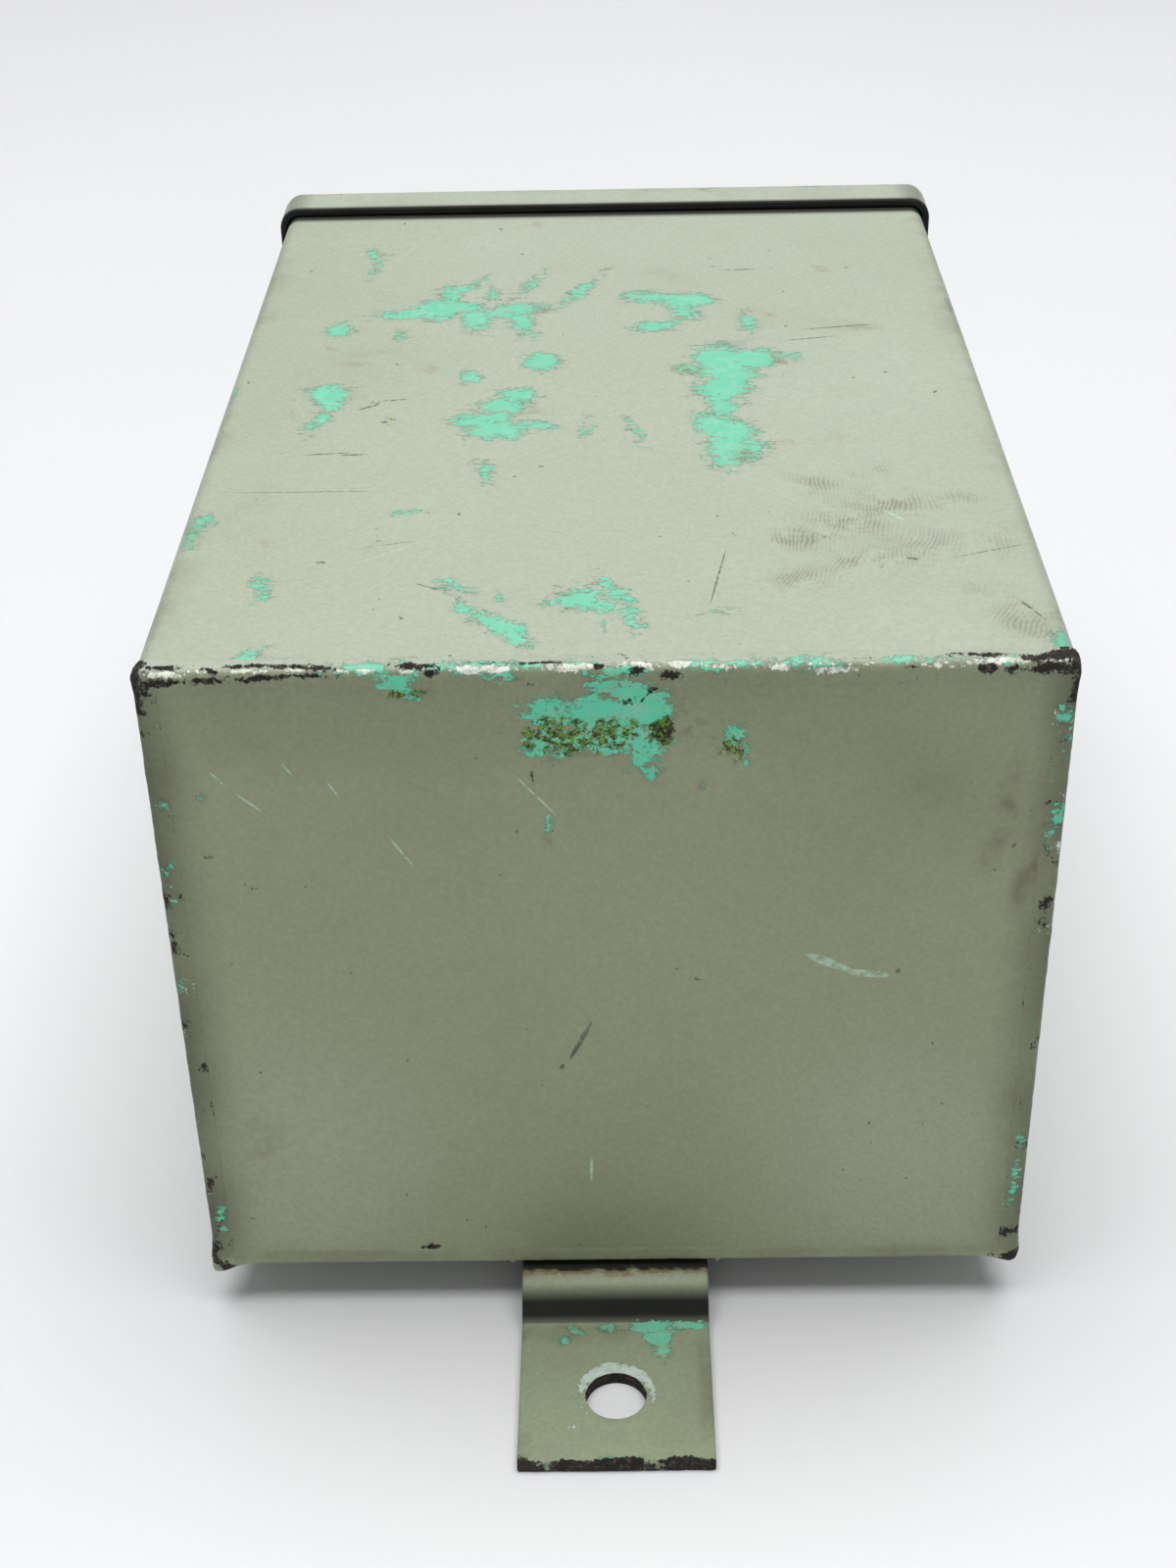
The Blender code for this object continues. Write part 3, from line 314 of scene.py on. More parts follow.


# ---- marks in the paint ----------------------------------------------------------------------------------

# Places on each face in mm: read off the photograph, converted with the fitted camera, then adjusted.

# Top: across from the middle, away from the rear wall, half sizes, turn in degrees.
TOP_MINT = (
    (-38.0, 138.0, 0.5, 4.0, 10), (-37.2, 134.0, 0.4, 2.5, -15), (-31.0, 112.4, 3.4, 1.6, 8),
    (-26.0, 113.8, 3.4, 3.6, 0), (-24.4, 120.5, 1.3, 4.0, 5), (-21.8, 124.0, 0.7, 3.4, -30),
    (-19.8, 110.0, 1.7, 4.6, 5), (-22.5, 115.0, 3.0, 1.6, 0), (-13.4, 114.2, 3.3, 1.8, 8),
    (-12.9, 108.2, 1.4, 4.0, 12), (-16.4, 112.0, 2.2, 1.5, 0), (-12.3, 124.1, 3.9, 0.8, 68),
    (-3.3, 122.6, 5.2, 0.8, 66), (-5.0, 118.8, 1.6, 1.0, 30), (-17.7, 120.4, 0.9, 2.0, 0),
    (7.2, 118.4, 3.7, 1.9, -5), (13.3, 116.6, 3.6, 2.4, -4), (12.6, 111.0, 1.7, 2.7, 10),
    (7.6, 105.3, 2.9, 1.7, 12), (22.1, 107.0, 0.9, 2.8, 0), (-41.0, 106.0, 1.7, 2.4, 0),
    (-31.2, 103.4, 0.7, 1.3, 0), (-39.9, 81.4, 2.6, 2.5, 0), (-39.3, 77.6, 1.7, 3.4, 0),
    (-40.4, 71.6, 1.0, 3.4, -14), (-9.2, 91.7, 2.5, 2.9, 8), (-19.6, 86.3, 1.2, 2.0, 0),
    (-12.6, 79.6, 2.4, 2.2, 0), (-14.2, 75.6, 3.4, 2.2, 4), (-17.2, 70.2, 3.6, 2.2, 6),
    (-15.0, 67.0, 3.6, 2.8, 0), (-9.8, 68.2, 3.3, 1.1, -2), (16.8, 92.6, 3.6, 4.6, 0),
    (22.0, 92.0, 4.0, 3.4, -6), (12.4, 88.6, 2.2, 1.5, 10), (18.2, 86.6, 4.0, 3.2, 0),
    (17.2, 80.6, 3.5, 4.0, 0), (17.0, 74.8, 1.6, 3.2, 0), (15.2, 68.0, 2.2, 3.2, 10),
    (17.8, 65.4, 2.9, 3.8, 0), (17.0, 60.0, 3.1, 4.2, 0), (16.6, 55.8, 1.4, 2.6, 0),
    (21.0, 59.6, 1.4, 1.8, 0), (28.2, 92.4, 0.7, 1.4, 0), (-2.5, 66.6, 0.4, 1.8, 0),
    (4.5, 66.2, 0.5, 2.6, 14), (-16.3, 54.4, 0.9, 1.4, 20), (-15.6, 51.6, 0.5, 1.4, 0),
    (-25.8, 41.3, 1.2, 0.5, 0), (-28.8, 33.6, 0.6, 0.3, 0), (-19.6, 21.2, 1.1, 1.0, -30),
    (-18.2, 19.6, 0.6, 0.7, 0), (-16.4, 19.0, 0.8, 0.5, 0), (-17.3, 15.2, 0.5, 1.3, 8),
    (-13.2, 16.7, 0.5, 0.7, 0), (-14.6, 12.4, 2.2, 1.1, -34), (-12.2, 9.8, 2.6, 1.5, -48),
    (-10.4, 6.6, 2.0, 0.8, -62), (-3.6, 16.2, 2.4, 1.9, 10), (-2.0, 17.6, 2.0, 1.3, -20),
    (-0.2, 15.0, 1.9, 0.8, -52), (0.2, 20.6, 1.9, 0.6, -58), (1.9, 17.2, 2.2, 0.8, -62),
    (3.2, 13.8, 1.0, 0.6, -60), (-0.1, 10.0, 0.3, 1.0, 0), (3.4, 10.6, 0.6, 1.6, 16),
    (4.0, 8.2, 0.4, 1.5, -8), (13.7, 13.1, 1.4, 0.4, 2), (-42.6, 21.6, 0.7, 1.7, 16),
    (-41.9, 18.8, 0.5, 1.6, -12), (-52.4, 39.2, 1.0, 1.8, 0), (-52.9, 34.8, 0.8, 1.8, 0),
    (-41.7, 3.5, 1.6, 0.8, 48), (53.9, 4.0, 1.5, 2.4, 0), (54.6, 112.0, 0.5, 2.6, 0),
    (-54.4, 82.0, 0.4, 1.6, 0),
)
TOP_MOSS = ((-30.0, 70.6, 1.6, 1.6, 0),)
TOP_DIRT = (
    (25.9, 110.1, 0.6, 0.9, 0), (31.9, 64.1, 0.9, 0.7, 0), (-41.4, 98.8, 0.5, 0.5, 0),
    (-36.9, 92.4, 2.6, 0.4, 4), (-25.9, 89.7, 1.4, 1.0, 0), (-44.6, 73.8, 0.8, 0.8, 10),
    (-34.3, 59.5, 1.2, 0.4, 4), (-20.3, 62.5, 1.1, 0.4, 0), (-10.8, 153.6, 0.7, 1.1, 0),
    (35.5, 129.7, 1.2, 1.2, 10), (6.5, 72.2, 1.0, 0.5, 0), (24.9, 62.1, 1.0, 0.8, 0),
    (-10.0, 73.6, 2.0, 0.8, 0), (-42.9, 33.1, 0.7, 0.3, 0), (-45.5, 51.0, 0.8, 0.4, 0),
    (-9.0, 37.3, 0.3, 0.5, 0), (12.4, 88.6, 2.6, 1.9, 10), (26.0, 91.0, 1.6, 1.6, 0),
    (19.0, 58.0, 1.8, 2.0, 0), (38.6, 103.0, 3.0, 0.5, 8),
)
TOP_GRIME = (
    (-48.0, 45.0, 5.0, 12.0, 0, 0.25), (33.0, 30.0, 16.0, 14.0, 20, 0.30), (48.0, 14.0, 5.5, 9.0, 15, 0.6),
    (35.0, 103.0, 9.0, 3.0, 4, 0.35), (-36.0, 96.0, 9.0, 2.0, 6, 0.35), (10.0, 128.0, 9.0, 5.0, 0, 0.3),
    (22.0, 98.0, 7.0, 3.0, 0, 0.45), (-30.0, 118.0, 10.0, 7.0, 0, 0.25), (-36.0, 84.0, 6.0, 8.0, 0, 0.25),
)
TOP_PRINTS = (
    (24.5, 32.0, 6.0, 3.6, 12, 1.1), (31.5, 38.0, 5.5, 6.0, 35, 1.2), (37.5, 43.0, 5.0, 5.5, 10, 1.1),
    (27.0, 48.0, 5.0, 4.0, 20, 0.9), (33.0, 25.0, 8.0, 5.0, 20, 1.0), (41.0, 30.0, 6.0, 6.0, 0, 0.7),
    (24.0, 21.0, 5.0, 4.0, 0, 0.8), (48.0, 14.0, 4.0, 8.0, 15, 0.7), (35.5, 52.0, 4.0, 3.0, 0, 0.7),
    (46.0, 41.0, 5.5, 5.0, 20, 0.8), (50.5, 31.0, 3.0, 7.0, 0, 0.6), (49.5, 9.0, 3.5, 6.0, 10, 0.8),
)

# Rear wall: across from the middle, up from the underside, half sizes, turn in degrees.
REAR_MINT = (
    (-6.4, 87.9, 3.4, 1.7, 0), (-1.6, 87.2, 3.0, 2.2, 10), (3.0, 88.0, 3.0, 2.4, 0),
    (2.1, 91.4, 3.6, 1.4, 0), (5.8, 88.0, 2.2, 2.4, 0), (3.2, 84.4, 2.4, 2.0, 0),
    (4.6, 81.6, 2.2, 1.3, 25), (5.2, 79.8, 0.8, 1.0, 0), (-5.2, 83.6, 4.6, 1.1, 0),
    (-8.6, 82.8, 1.0, 0.8, 0), (-6.0, 82.0, 0.7, 0.9, 0), (0.6, 83.0, 3.0, 0.8, 0),
    (15.3, 84.6, 1.4, 1.2, 0), (16.2, 82.6, 0.7, 1.8, 0), (11.0, 85.3, 0.5, 0.7, 0),
    (9.4, 84.6, 0.4, 0.6, 0), (-23.5, 92.4, 1.5, 1.2, 0), (-22.4, 90.4, 1.4, 0.9, -20),
    (11.1, 77.3, 0.5, 0.6, 0), (44.1, 75.2, 0.5, 0.6, 0), (-7.0, 72.3, 0.3, 1.3, 0),
    (-7.4, 69.4, 0.4, 0.5, 0), (-53.6, 62.5, 0.4, 0.8, 0), (53.4, 86.6, 0.6, 1.0, 0),
    (53.2, 69.4, 0.4, 1.3, 0), (53.4, 17.0, 0.5, 3.8, 0), (53.3, 11.4, 0.4, 1.6, 0),
    (-53.2, 8.8, 0.5, 1.8, 0), (-48.6, 77.0, 0.4, 0.5, 0),
)
REAR_MOSS = (
    (-5.6, 85.3, 4.2, 2.0, 0), (-0.6, 85.0, 4.6, 2.0, 6), (6.6, 85.0, 1.4, 2.0, 0),
    (15.0, 82.6, 1.6, 1.6, 0), (-23.0, 91.0, 1.9, 1.0, 0), (-4.0, 83.6, 5.4, 1.4, 0),
)
# Dirt on the rear wall; the two long bands down its sides are painted shade.
REAR_GRIME_AND_SHADE = (
    (47.6, 73.0, 2.0, 9.0, -12, 1.1), (51.0, 64.0, 1.6, 6.0, -14, 1.0), (38.0, 76.0, 6.0, 4.5, 20, 0.35),
    (0.0, 93.0, 56.0, 4.5, 0, 0.30), (-38.0, 86.0, 12.0, 9.0, 0, 0.25), (24.0, 84.0, 8.0, 9.0, -20, 0.25),
    (-53.6, 46.0, 3.2, 60.0, 0, 0.75), (53.6, 46.0, 3.2, 60.0, 0, 0.75), (-47.0, 20.0, 5.0, 12.0, 0, 0.4),
    (0.0, 1.5, 56.0, 1.6, 0, 0.25), (30.0, 22.0, 22.0, 9.0, 0, 0.12),
)
REAR_SOOT = (
    (-24.6, 3.2, 0.8, 0.6, 10), (-26.4, 3.0, 0.5, 0.4, 0), (-20.3, 8.4, 0.3, 0.4, 0),
    (-27.4, 12.6, 0.3, 0.5, 0), (-9.1, 79.6, 0.3, 0.9, 5), (15.6, 18.0, 0.5, 0.4, -30),
    (6.7, 85.2, 1.2, 1.8, 0), (3.0, 89.2, 0.8, 0.6, 0), (5.6, 91.2, 0.8, 0.6, 0),
)

# Weld along the top of the rear wall: across from the middle, up over the edge from the wall on to the top.
BEAD_BLACK = (
    (-54.6, -0.6, 1.0, 2.2, 0), (-51.6, 1.0, 3.6, 0.5, 3), (-45.4, 0.3, 1.8, 0.45, -28),
    (-41.2, 1.1, 3.2, 0.4, 0), (-36.8, 1.0, 3.0, 0.45, 2), (-33.2, 0.6, 2.4, 0.4, -4),
    (-51.6, -1.4, 3.4, 0.55, 2), (-45.6, -1.2, 3.0, 0.4, -3), (-39.6, -0.9, 3.6, 0.4, 4),
    (-33.8, -0.7, 2.6, 0.35, 0), (-22.2, 0.7, 2.4, 0.6, -6), (-20.2, -0.5, 1.0, 0.5, 0),
    (-0.7, 0.2, 1.0, 0.6, 0), (3.9, -0.6, 0.9, 0.6, 10), (7.0, -1.1, 0.7, 0.6, 0),
    (8.0, -1.3, 0.7, 0.6, 0), (-7.0, 1.0, 3.0, 0.3, 0), (42.6, 1.5, 3.4, 0.45, -3),
    (44.0, -0.9, 1.3, 0.6, 0), (47.2, -1.0, 0.7, 0.6, 0), (51.4, -0.9, 3.2, 0.8, 0),
    (49.4, 0.7, 1.8, 0.7, 0), (52.6, 1.1, 2.2, 0.9, 0), (54.9, -3.6, 1.0, 3.4, 0),
    (-54.8, -5.0, 1.0, 3.6, 0), (29.0, 0.9, 1.4, 0.2, 0), (35.4, -0.6, 1.0, 0.2, 0),
    (-14.0, 1.1, 1.6, 0.25, 0),
)
BEAD_PALE = (
    (-50.2, -0.2, 4.8, 0.8, 0), (-42.0, 0.1, 4.4, 0.7, 0), (-35.6, 0.1, 4.4, 0.6, 0),
    (-23.0, -0.2, 2.8, 0.7, 0), (-14.0, 0.0, 7.6, 1.1, 0), (-4.0, 0.1, 5.4, 1.1, 0),
    (4.0, 0.3, 3.6, 1.0, 0), (9.0, 0.4, 2.8, 1.1, 0), (14.0, -0.1, 1.9, 0.7, 0), (20.0, -0.3, 3.0, 0.9, 0),
    (27.0, -0.9, 4.0, 0.7, 0), (37.0, -0.5, 3.6, 0.7, 0), (40.6, -0.6, 1.6, 0.6, 0),
    (46.0, 0.2, 6.2, 1.0, 0), (53.5, 0.4, 1.6, 0.8, 0), (55.0, -1.0, 0.8, 1.6, 0),
)
BEAD_MINT = (
    (-28.0, 0.4, 3.8, 1.0, 0), (-24.0, -1.8, 2.0, 1.4, 0), (-17.0, 0.3, 3.4, 0.9, 0),
    (-12.5, -0.6, 2.0, 1.0, 0), (-9.0, 0.5, 1.8, 0.9, 0), (-3.0, 0.4, 3.0, 0.8, 0),
    (2.0, -0.6, 2.8, 0.8, 0), (11.5, 0.4, 2.8, 0.8, 0), (17.0, 0.3, 3.0, 0.9, 0), (24.0, 0.2, 4.2, 1.1, 0),
    (46.8, 0.3, 1.1, 0.8, 0), (-14.0, 1.0, 3.4, 0.8, 0), (34.0, 0.8, 2.6, 0.5, 0),
    (39.0, 0.8, 1.4, 0.5, 0),
)

# Pad of a foot: across from the middle, out from the wall, half sizes, turn in degrees.
PAD_MINT = (
    (5.0, 7.4, 2.8, 0.9, 0), (5.7, 9.2, 1.5, 1.4, 0), (6.4, 10.9, 0.8, 1.4, 10),
    (10.1, 7.0, 2.0, 0.5, 0), (-0.9, 7.4, 1.2, 0.5, 0), (-5.7, 7.6, 0.9, 0.4, 20), (-7.0, 9.5, 0.5, 0.5, 0),
)
PAD_PALE = ((-5.5, 24.6, 0.55, 0.55, 0), (-11.4, 31.2, 1.5, 0.6, 10))


def ellipse_depth(u, v, blobs):
    """Depth in mm inside the nearest of some turned ellipses, negative outside them."""
    best = np.full(len(u), NO_MARK)
    for across, along, half_across, half_along, turn in blobs:
        angle = math.radians(turn)
        du, dv = u - across, v - along
        reach = np.hypot((du * math.cos(angle) + dv * math.sin(angle)) / half_across,
                         (dv * math.cos(angle) - du * math.sin(angle)) / half_along)
        best = np.maximum(best, (1 - reach) * min(half_across, half_along) ** 0.6)
    return best


def soft_strength(u, v, blobs):
    """Strength that fades out from the middle of each turned ellipse."""
    total = np.zeros(len(u))
    for across, along, half_across, half_along, turn, strength in blobs:
        angle = math.radians(turn)
        du, dv = u - across, v - along
        reach = np.hypot((du * math.cos(angle) + dv * math.sin(angle)) / half_across,
                         (dv * math.cos(angle) - du * math.sin(angle)) / half_along)
        total = np.maximum(total, strength * np.clip(1.35 - reach, 0, 1))
    return total


def scattered(seed, count, half_u, half_v, largest=2.4):
    """Chips for a face that the usual view hides."""
    chance = random.Random(seed)
    return [(chance.uniform(-half_u, half_u), chance.uniform(-half_v, half_v), chance.uniform(0.4, largest),
             chance.uniform(0.4, largest), chance.uniform(0, 180)) for _ in range(count)]


def patches(points, size, seed):
    """Smooth noise, about -1 to 1, with features of that many mm."""
    shift = Vector((seed * 7.3, seed * 3.1, seed * 5.7))
    return np.array([noise.noise(Vector(p) / size + shift) for p in points]) * 1.6


def coat(piece, **fields):
    """Give a mesh its paint fields; the ones not named stay unmarked."""
    unmarked = {"mint": NO_MARK, "primer": NO_MARK, "bare": NO_MARK}
    count = len(piece.data.vertices)
    for name in ("mint", "primer", "bare", "shaded", "rust", "grime", "prints", "moss", "soot", "peel"):
        values = fields.get(name, np.full(count, unmarked.get(name, 0.0)))
        attribute = piece.data.attributes.new(name, "FLOAT", "POINT")
        attribute.data.foreach_set("value", np.asarray(values, np.float32))


def places_mm(piece):
    co = np.zeros(len(piece.data.vertices) * 3)
    piece.data.vertices.foreach_get("co", co)
    return co.reshape(-1, 3) / MM


# ---- mesh makers -----------------------------------------------------------------------------------------

def arc(centre, radius, start, end, steps):
    """Points on an arc, angles in degrees, both ends included."""
    angles = [math.radians(start + (end - start) * i / steps) for i in range(steps + 1)]
    return [(centre[0] + radius * math.cos(a), centre[1] + radius * math.sin(a)) for a in angles]


def spread(start, end, step):
    """Even values from start to end, both included, about step apart."""
    count = max(1, round(abs(end - start) / step))
    return [start + (end - start) * i / count for i in range(count + 1)]


def between(before, after, step):
    """Points strictly between two others, about step apart."""
    (x0, y0), (x1, y1) = before, after
    shares = spread(0, 1, step / max(math.hypot(x1 - x0, y1 - y0), step))[1:-1]
    return [(x0 + (x1 - x0) * t, y0 + (y1 - y0) * t) for t in shares]


CORNERS = ((1, 1, 0), (-1, 1, 90), (-1, -1, 180), (1, -1, 270))     # side across, side up, arc's start


def rounded_rectangle(half_width, half_height, radius, step, steps=8):
    """Anticlockwise outline about the origin, its straight sides divided about every step."""
    knots = []
    for side_x, side_y, start in CORNERS:
        centre = (side_x * (half_width - radius), side_y * (half_height - radius))
        knots.append(arc(centre, radius, start, start + 90, steps))
    points = []
    for before, after in zip(knots, knots[1:] + knots[:1]):
        points += before + between(before[-1], after[0], step)
    return points


def divided_rectangle(half_width, half_height, radius, shares):
    """The same outline with each side in a fixed number of shares, so that outlines can be lofted."""
    knots = []
    for side_x, side_y, start in CORNERS:
        centre = (side_x * (half_width - radius), side_y * (half_height - radius))
        knots.append(arc(centre, radius, start, start + 90, 8))
    ring = []
    for before, after in zip(knots, knots[1:] + knots[:1]):
        (x0, z0), (x1, z1) = before[-1], after[0]
        ring += before
        ring += [(x0 + (x1 - x0) * i / shares, z0 + (z1 - z0) * i / shares) for i in range(1, shares)]
    return ring


def join_rows(bm, rows, closed=False):
    """Quads between neighbouring rows of vertices."""
    for low, high in zip(rows, rows[1:]):
        count = len(low)
        for i in range(count if closed else count - 1):
            j = (i + 1) % count
            bm.faces.new((low[i], low[j], high[j], high[i]))


def shell(stations):
    """Solid sheet: each station pairs a row of points on one face with a row on the other."""
    bm = bmesh.new()
    outer = [[bm.verts.new(p) for p in row] for row, _ in stations]
    inner = [[bm.verts.new(p) for p in row] for _, row in stations]
    join_rows(bm, outer)
    join_rows(bm, inner)
    for end in (0, -1):
        join_rows(bm, [[row[end] for row in outer], [row[end] for row in inner]])
        join_rows(bm, [outer[end], inner[end]])
    return bm


def loft(rings, closed=False):
    """Solid through closed rings of points; its ends are capped unless the last ring meets the first."""
    bm = bmesh.new()
    rows = [[bm.verts.new(p) for p in ring] for ring in rings]
    join_rows(bm, rows + rows[:1] if closed else rows, closed=True)
    if not closed:
        bm.faces.new(rows[0])
        bm.faces.new(rows[-1])
    return bm


def to_object(name, bm):
    bmesh.ops.recalc_face_normals(bm, faces=bm.faces)
    mesh = bpy.data.meshes.new(name)
    bm.to_mesh(mesh)
    bm.free()
    item = bpy.data.objects.new(name, mesh)
    bpy.context.scene.collection.objects.link(item)
    return item


def settle(item):
    """Replace an object's data by its mesh after modifiers, in the frame's coordinates."""
    bpy.context.view_layer.update()
    mesh = bpy.data.meshes.new_from_object(item.evaluated_get(bpy.context.evaluated_depsgraph_get()))
    mesh.transform(item.matrix_world)
    name = item.name
    bpy.data.objects.remove(item)
    made = bpy.data.objects.new(name, mesh)
    bpy.context.scene.collection.objects.link(made)
    return made


def cut(item, *cutters):
    """Subtract cutters, given as bmeshes, and leave one plain mesh."""
    tools = [to_object(f"{item.name}_cutter_{i}", cutter) for i, cutter in enumerate(cutters)]
    for tool in tools:
        boolean = item.modifiers.new(tool.name, "BOOLEAN")
        boolean.operation = "DIFFERENCE"
        boolean.solver = "EXACT"
        boolean.object = tool
    made = settle(item)
    for tool in tools:
        bpy.data.objects.remove(tool)
    return made


def towards(axis):
    """Matrix that stands local +Z along axis."""
    return UP.rotation_difference(axis).to_matrix().to_4x4()


def turned_mesh(profile, place, axis, sides=48, closed=False):
    """Turned solid: profile of radius and height down its outer side."""
    stand = Matrix.Translation(place) @ towards(axis)
    rings = [[stand @ p for p in level_ring(radius, height, sides)] for radius, height in profile]
    return loft(rings, closed)


def level_ring(radius, height, sides=36):
    """Circle of points at one height along the local axis."""
    return [Vector((x, y, height)) for x, y in arc((0, 0), radius, 0, 360 - 360 / sides, sides - 1)]


def flat_plate(name, outlines, thickness, centre, axis, edge=0.3 * MM):
    """Flat piece with softened edges: the first outline is its edge and the others are holes."""
    curve = bpy.data.curves.new(name, "CURVE")
    curve.dimensions = "2D"
    curve.fill_mode = "BOTH"
    curve.extrude = thickness / 2 - edge
    curve.bevel_depth = edge
    curve.bevel_resolution = 2
    curve.offset = -edge
    for index, outline in enumerate(outlines):
        spline = curve.splines.new("POLY")
        spline.points.add(len(outline) - 1)
        ordered = outline if index == 0 else outline[::-1]
        for point, (x, y) in zip(spline.points, ordered):
            point.co = (x, y, 0, 1)
        spline.use_cyclic_u = True
    item = bpy.data.objects.new(name, curve)
    bpy.context.scene.collection.objects.link(item)
    item.matrix_world = Matrix.Translation(centre) @ axis
    made = settle(item)
    bm = bmesh.new()
    bm.from_mesh(made.data)
    bmesh.ops.remove_doubles(bm, verts=bm.verts, dist=1e-6)
    bmesh.ops.recalc_face_normals(bm, faces=bm.faces)
    bm.to_mesh(made.data)
    bm.free()
    return made


STANDING = Matrix.Rotation(math.pi / 2, 4, "X")        # local X, Y become X, Z


def show(item, material, body, slot, *nodes, sharp=32):
    """Give a finished mesh its material and smooth shading, attach it to its body and hide the frame nodes
    it replaces.
    """
    item.data.materials.clear()
    item.data.materials.append(material)
    item.data.shade_smooth()
    item.data.set_sharp_from_angle(angle=math.radians(sharp))
    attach(item, body)
    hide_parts(*nodes)
    return item


def bead_mesh(route, plane, radius, closed, lump=0.28, swell=lambda place: 1.0, ripple=1.5 * MM):
    """Weld bead along a flat route: a rod with uneven ripples, thicker where swell says."""
    sides = 12
    rings = []
    travelled = 0.0
    count = len(route)
    for i, place in enumerate(route):
        ahead = route[(i + 1) % count] if closed or i + 1 < count else place
        behind = route[i - 1] if closed or i else place
        across = (ahead - behind).normalized().cross(plane)
        travelled += (place - behind).length
        wave = 0.10 * math.sin(2 * math.pi * travelled / ripple)
        grown = radius * swell(place)
        if not closed:
            grown *= min(1.0, 0.35 + 0.25 * min(i, count - 1 - i))
        ring = []
        for side in range(sides):
            angle = 2 * math.pi * side / sides
            out = across * math.cos(angle) + plane * math.sin(angle)
            surface = place + out * radius
            rough = noise.noise(surface / (1.9 * MM)) + 0.6 * noise.noise(surface / (0.8 * MM))
            ring.append(place + out * grown * (1 + wave + lump * rough))
        rings.append(ring)
    return loft(rings, closed)


def along(points, step, closed=False):
    """A route's points at even spacing."""
    made = []
    for before, after in zip(points, points[1:] + points[:1] if closed else points[1:]):
        length = (after - before).length
        made += [before.lerp(after, t) for t in spread(0, 1, step / max(length, step))[:-1]]
    return made if closed else made + [points[-1]]


# ---- body ------------------------------------------------------------------------------------------------

SEAM_LOW, SEAM_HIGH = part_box("seam_weld")
SEAM_X = (SEAM_LOW.x + SEAM_HIGH.x) / 2
SEAM_HALF = (SEAM_HIGH.x - SEAM_LOW.x) / 2 + 0.2 * MM
ENTRY_LOW, ENTRY_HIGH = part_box("entry_cap_right")
ENTRY_Y = (ENTRY_LOW.y + ENTRY_HIGH.y) / 2
ENTRY_Z = (ENTRY_LOW.z + ENTRY_HIGH.z) / 2
ENTRY_RADIUS = 11.1 * MM


def wrap_path(inset):
    """Section of the folded sheet at a depth below its outer face, from one side of the seam round."""
    wide, high, radius = HALF_WIDTH - BODY_BEND, HALF_HEIGHT - BODY_BEND, BODY_BEND - inset
    knots = [[(SEAM_X + SEAM_HALF, -high - radius)]]
    for side_x, side_z, start in ((1, -1, 270), (1, 1, 0), (-1, 1, 90), (-1, -1, 180)):
        knots.append(arc((side_x * wide, side_z * high), radius, start, start + 90, 8))
    knots.append([(SEAM_X - SEAM_HALF, -high - radius)])
    points = []
    for before, after in zip(knots, knots[1:]):
        points += before + between(before[-1], after[0], FACE_STEP)
    return points + knots[-1]


def sheet_sway(x, y, z):
    """How far a wall of hand-worked sheet stands off its true plane."""
    from_fold = max(HALF_WIDTH - abs(x), HALF_HEIGHT - abs(z - MIDDLE))
    from_ends = min(y - REAR, MOUTH - y)
    hold = min(1.0, from_fold / (12 * MM)) * min(1.0, max(0.0, from_ends) / (15 * MM))
    return 0.22 * MM * hold * noise.noise(Vector((x, y, z)) * 17)


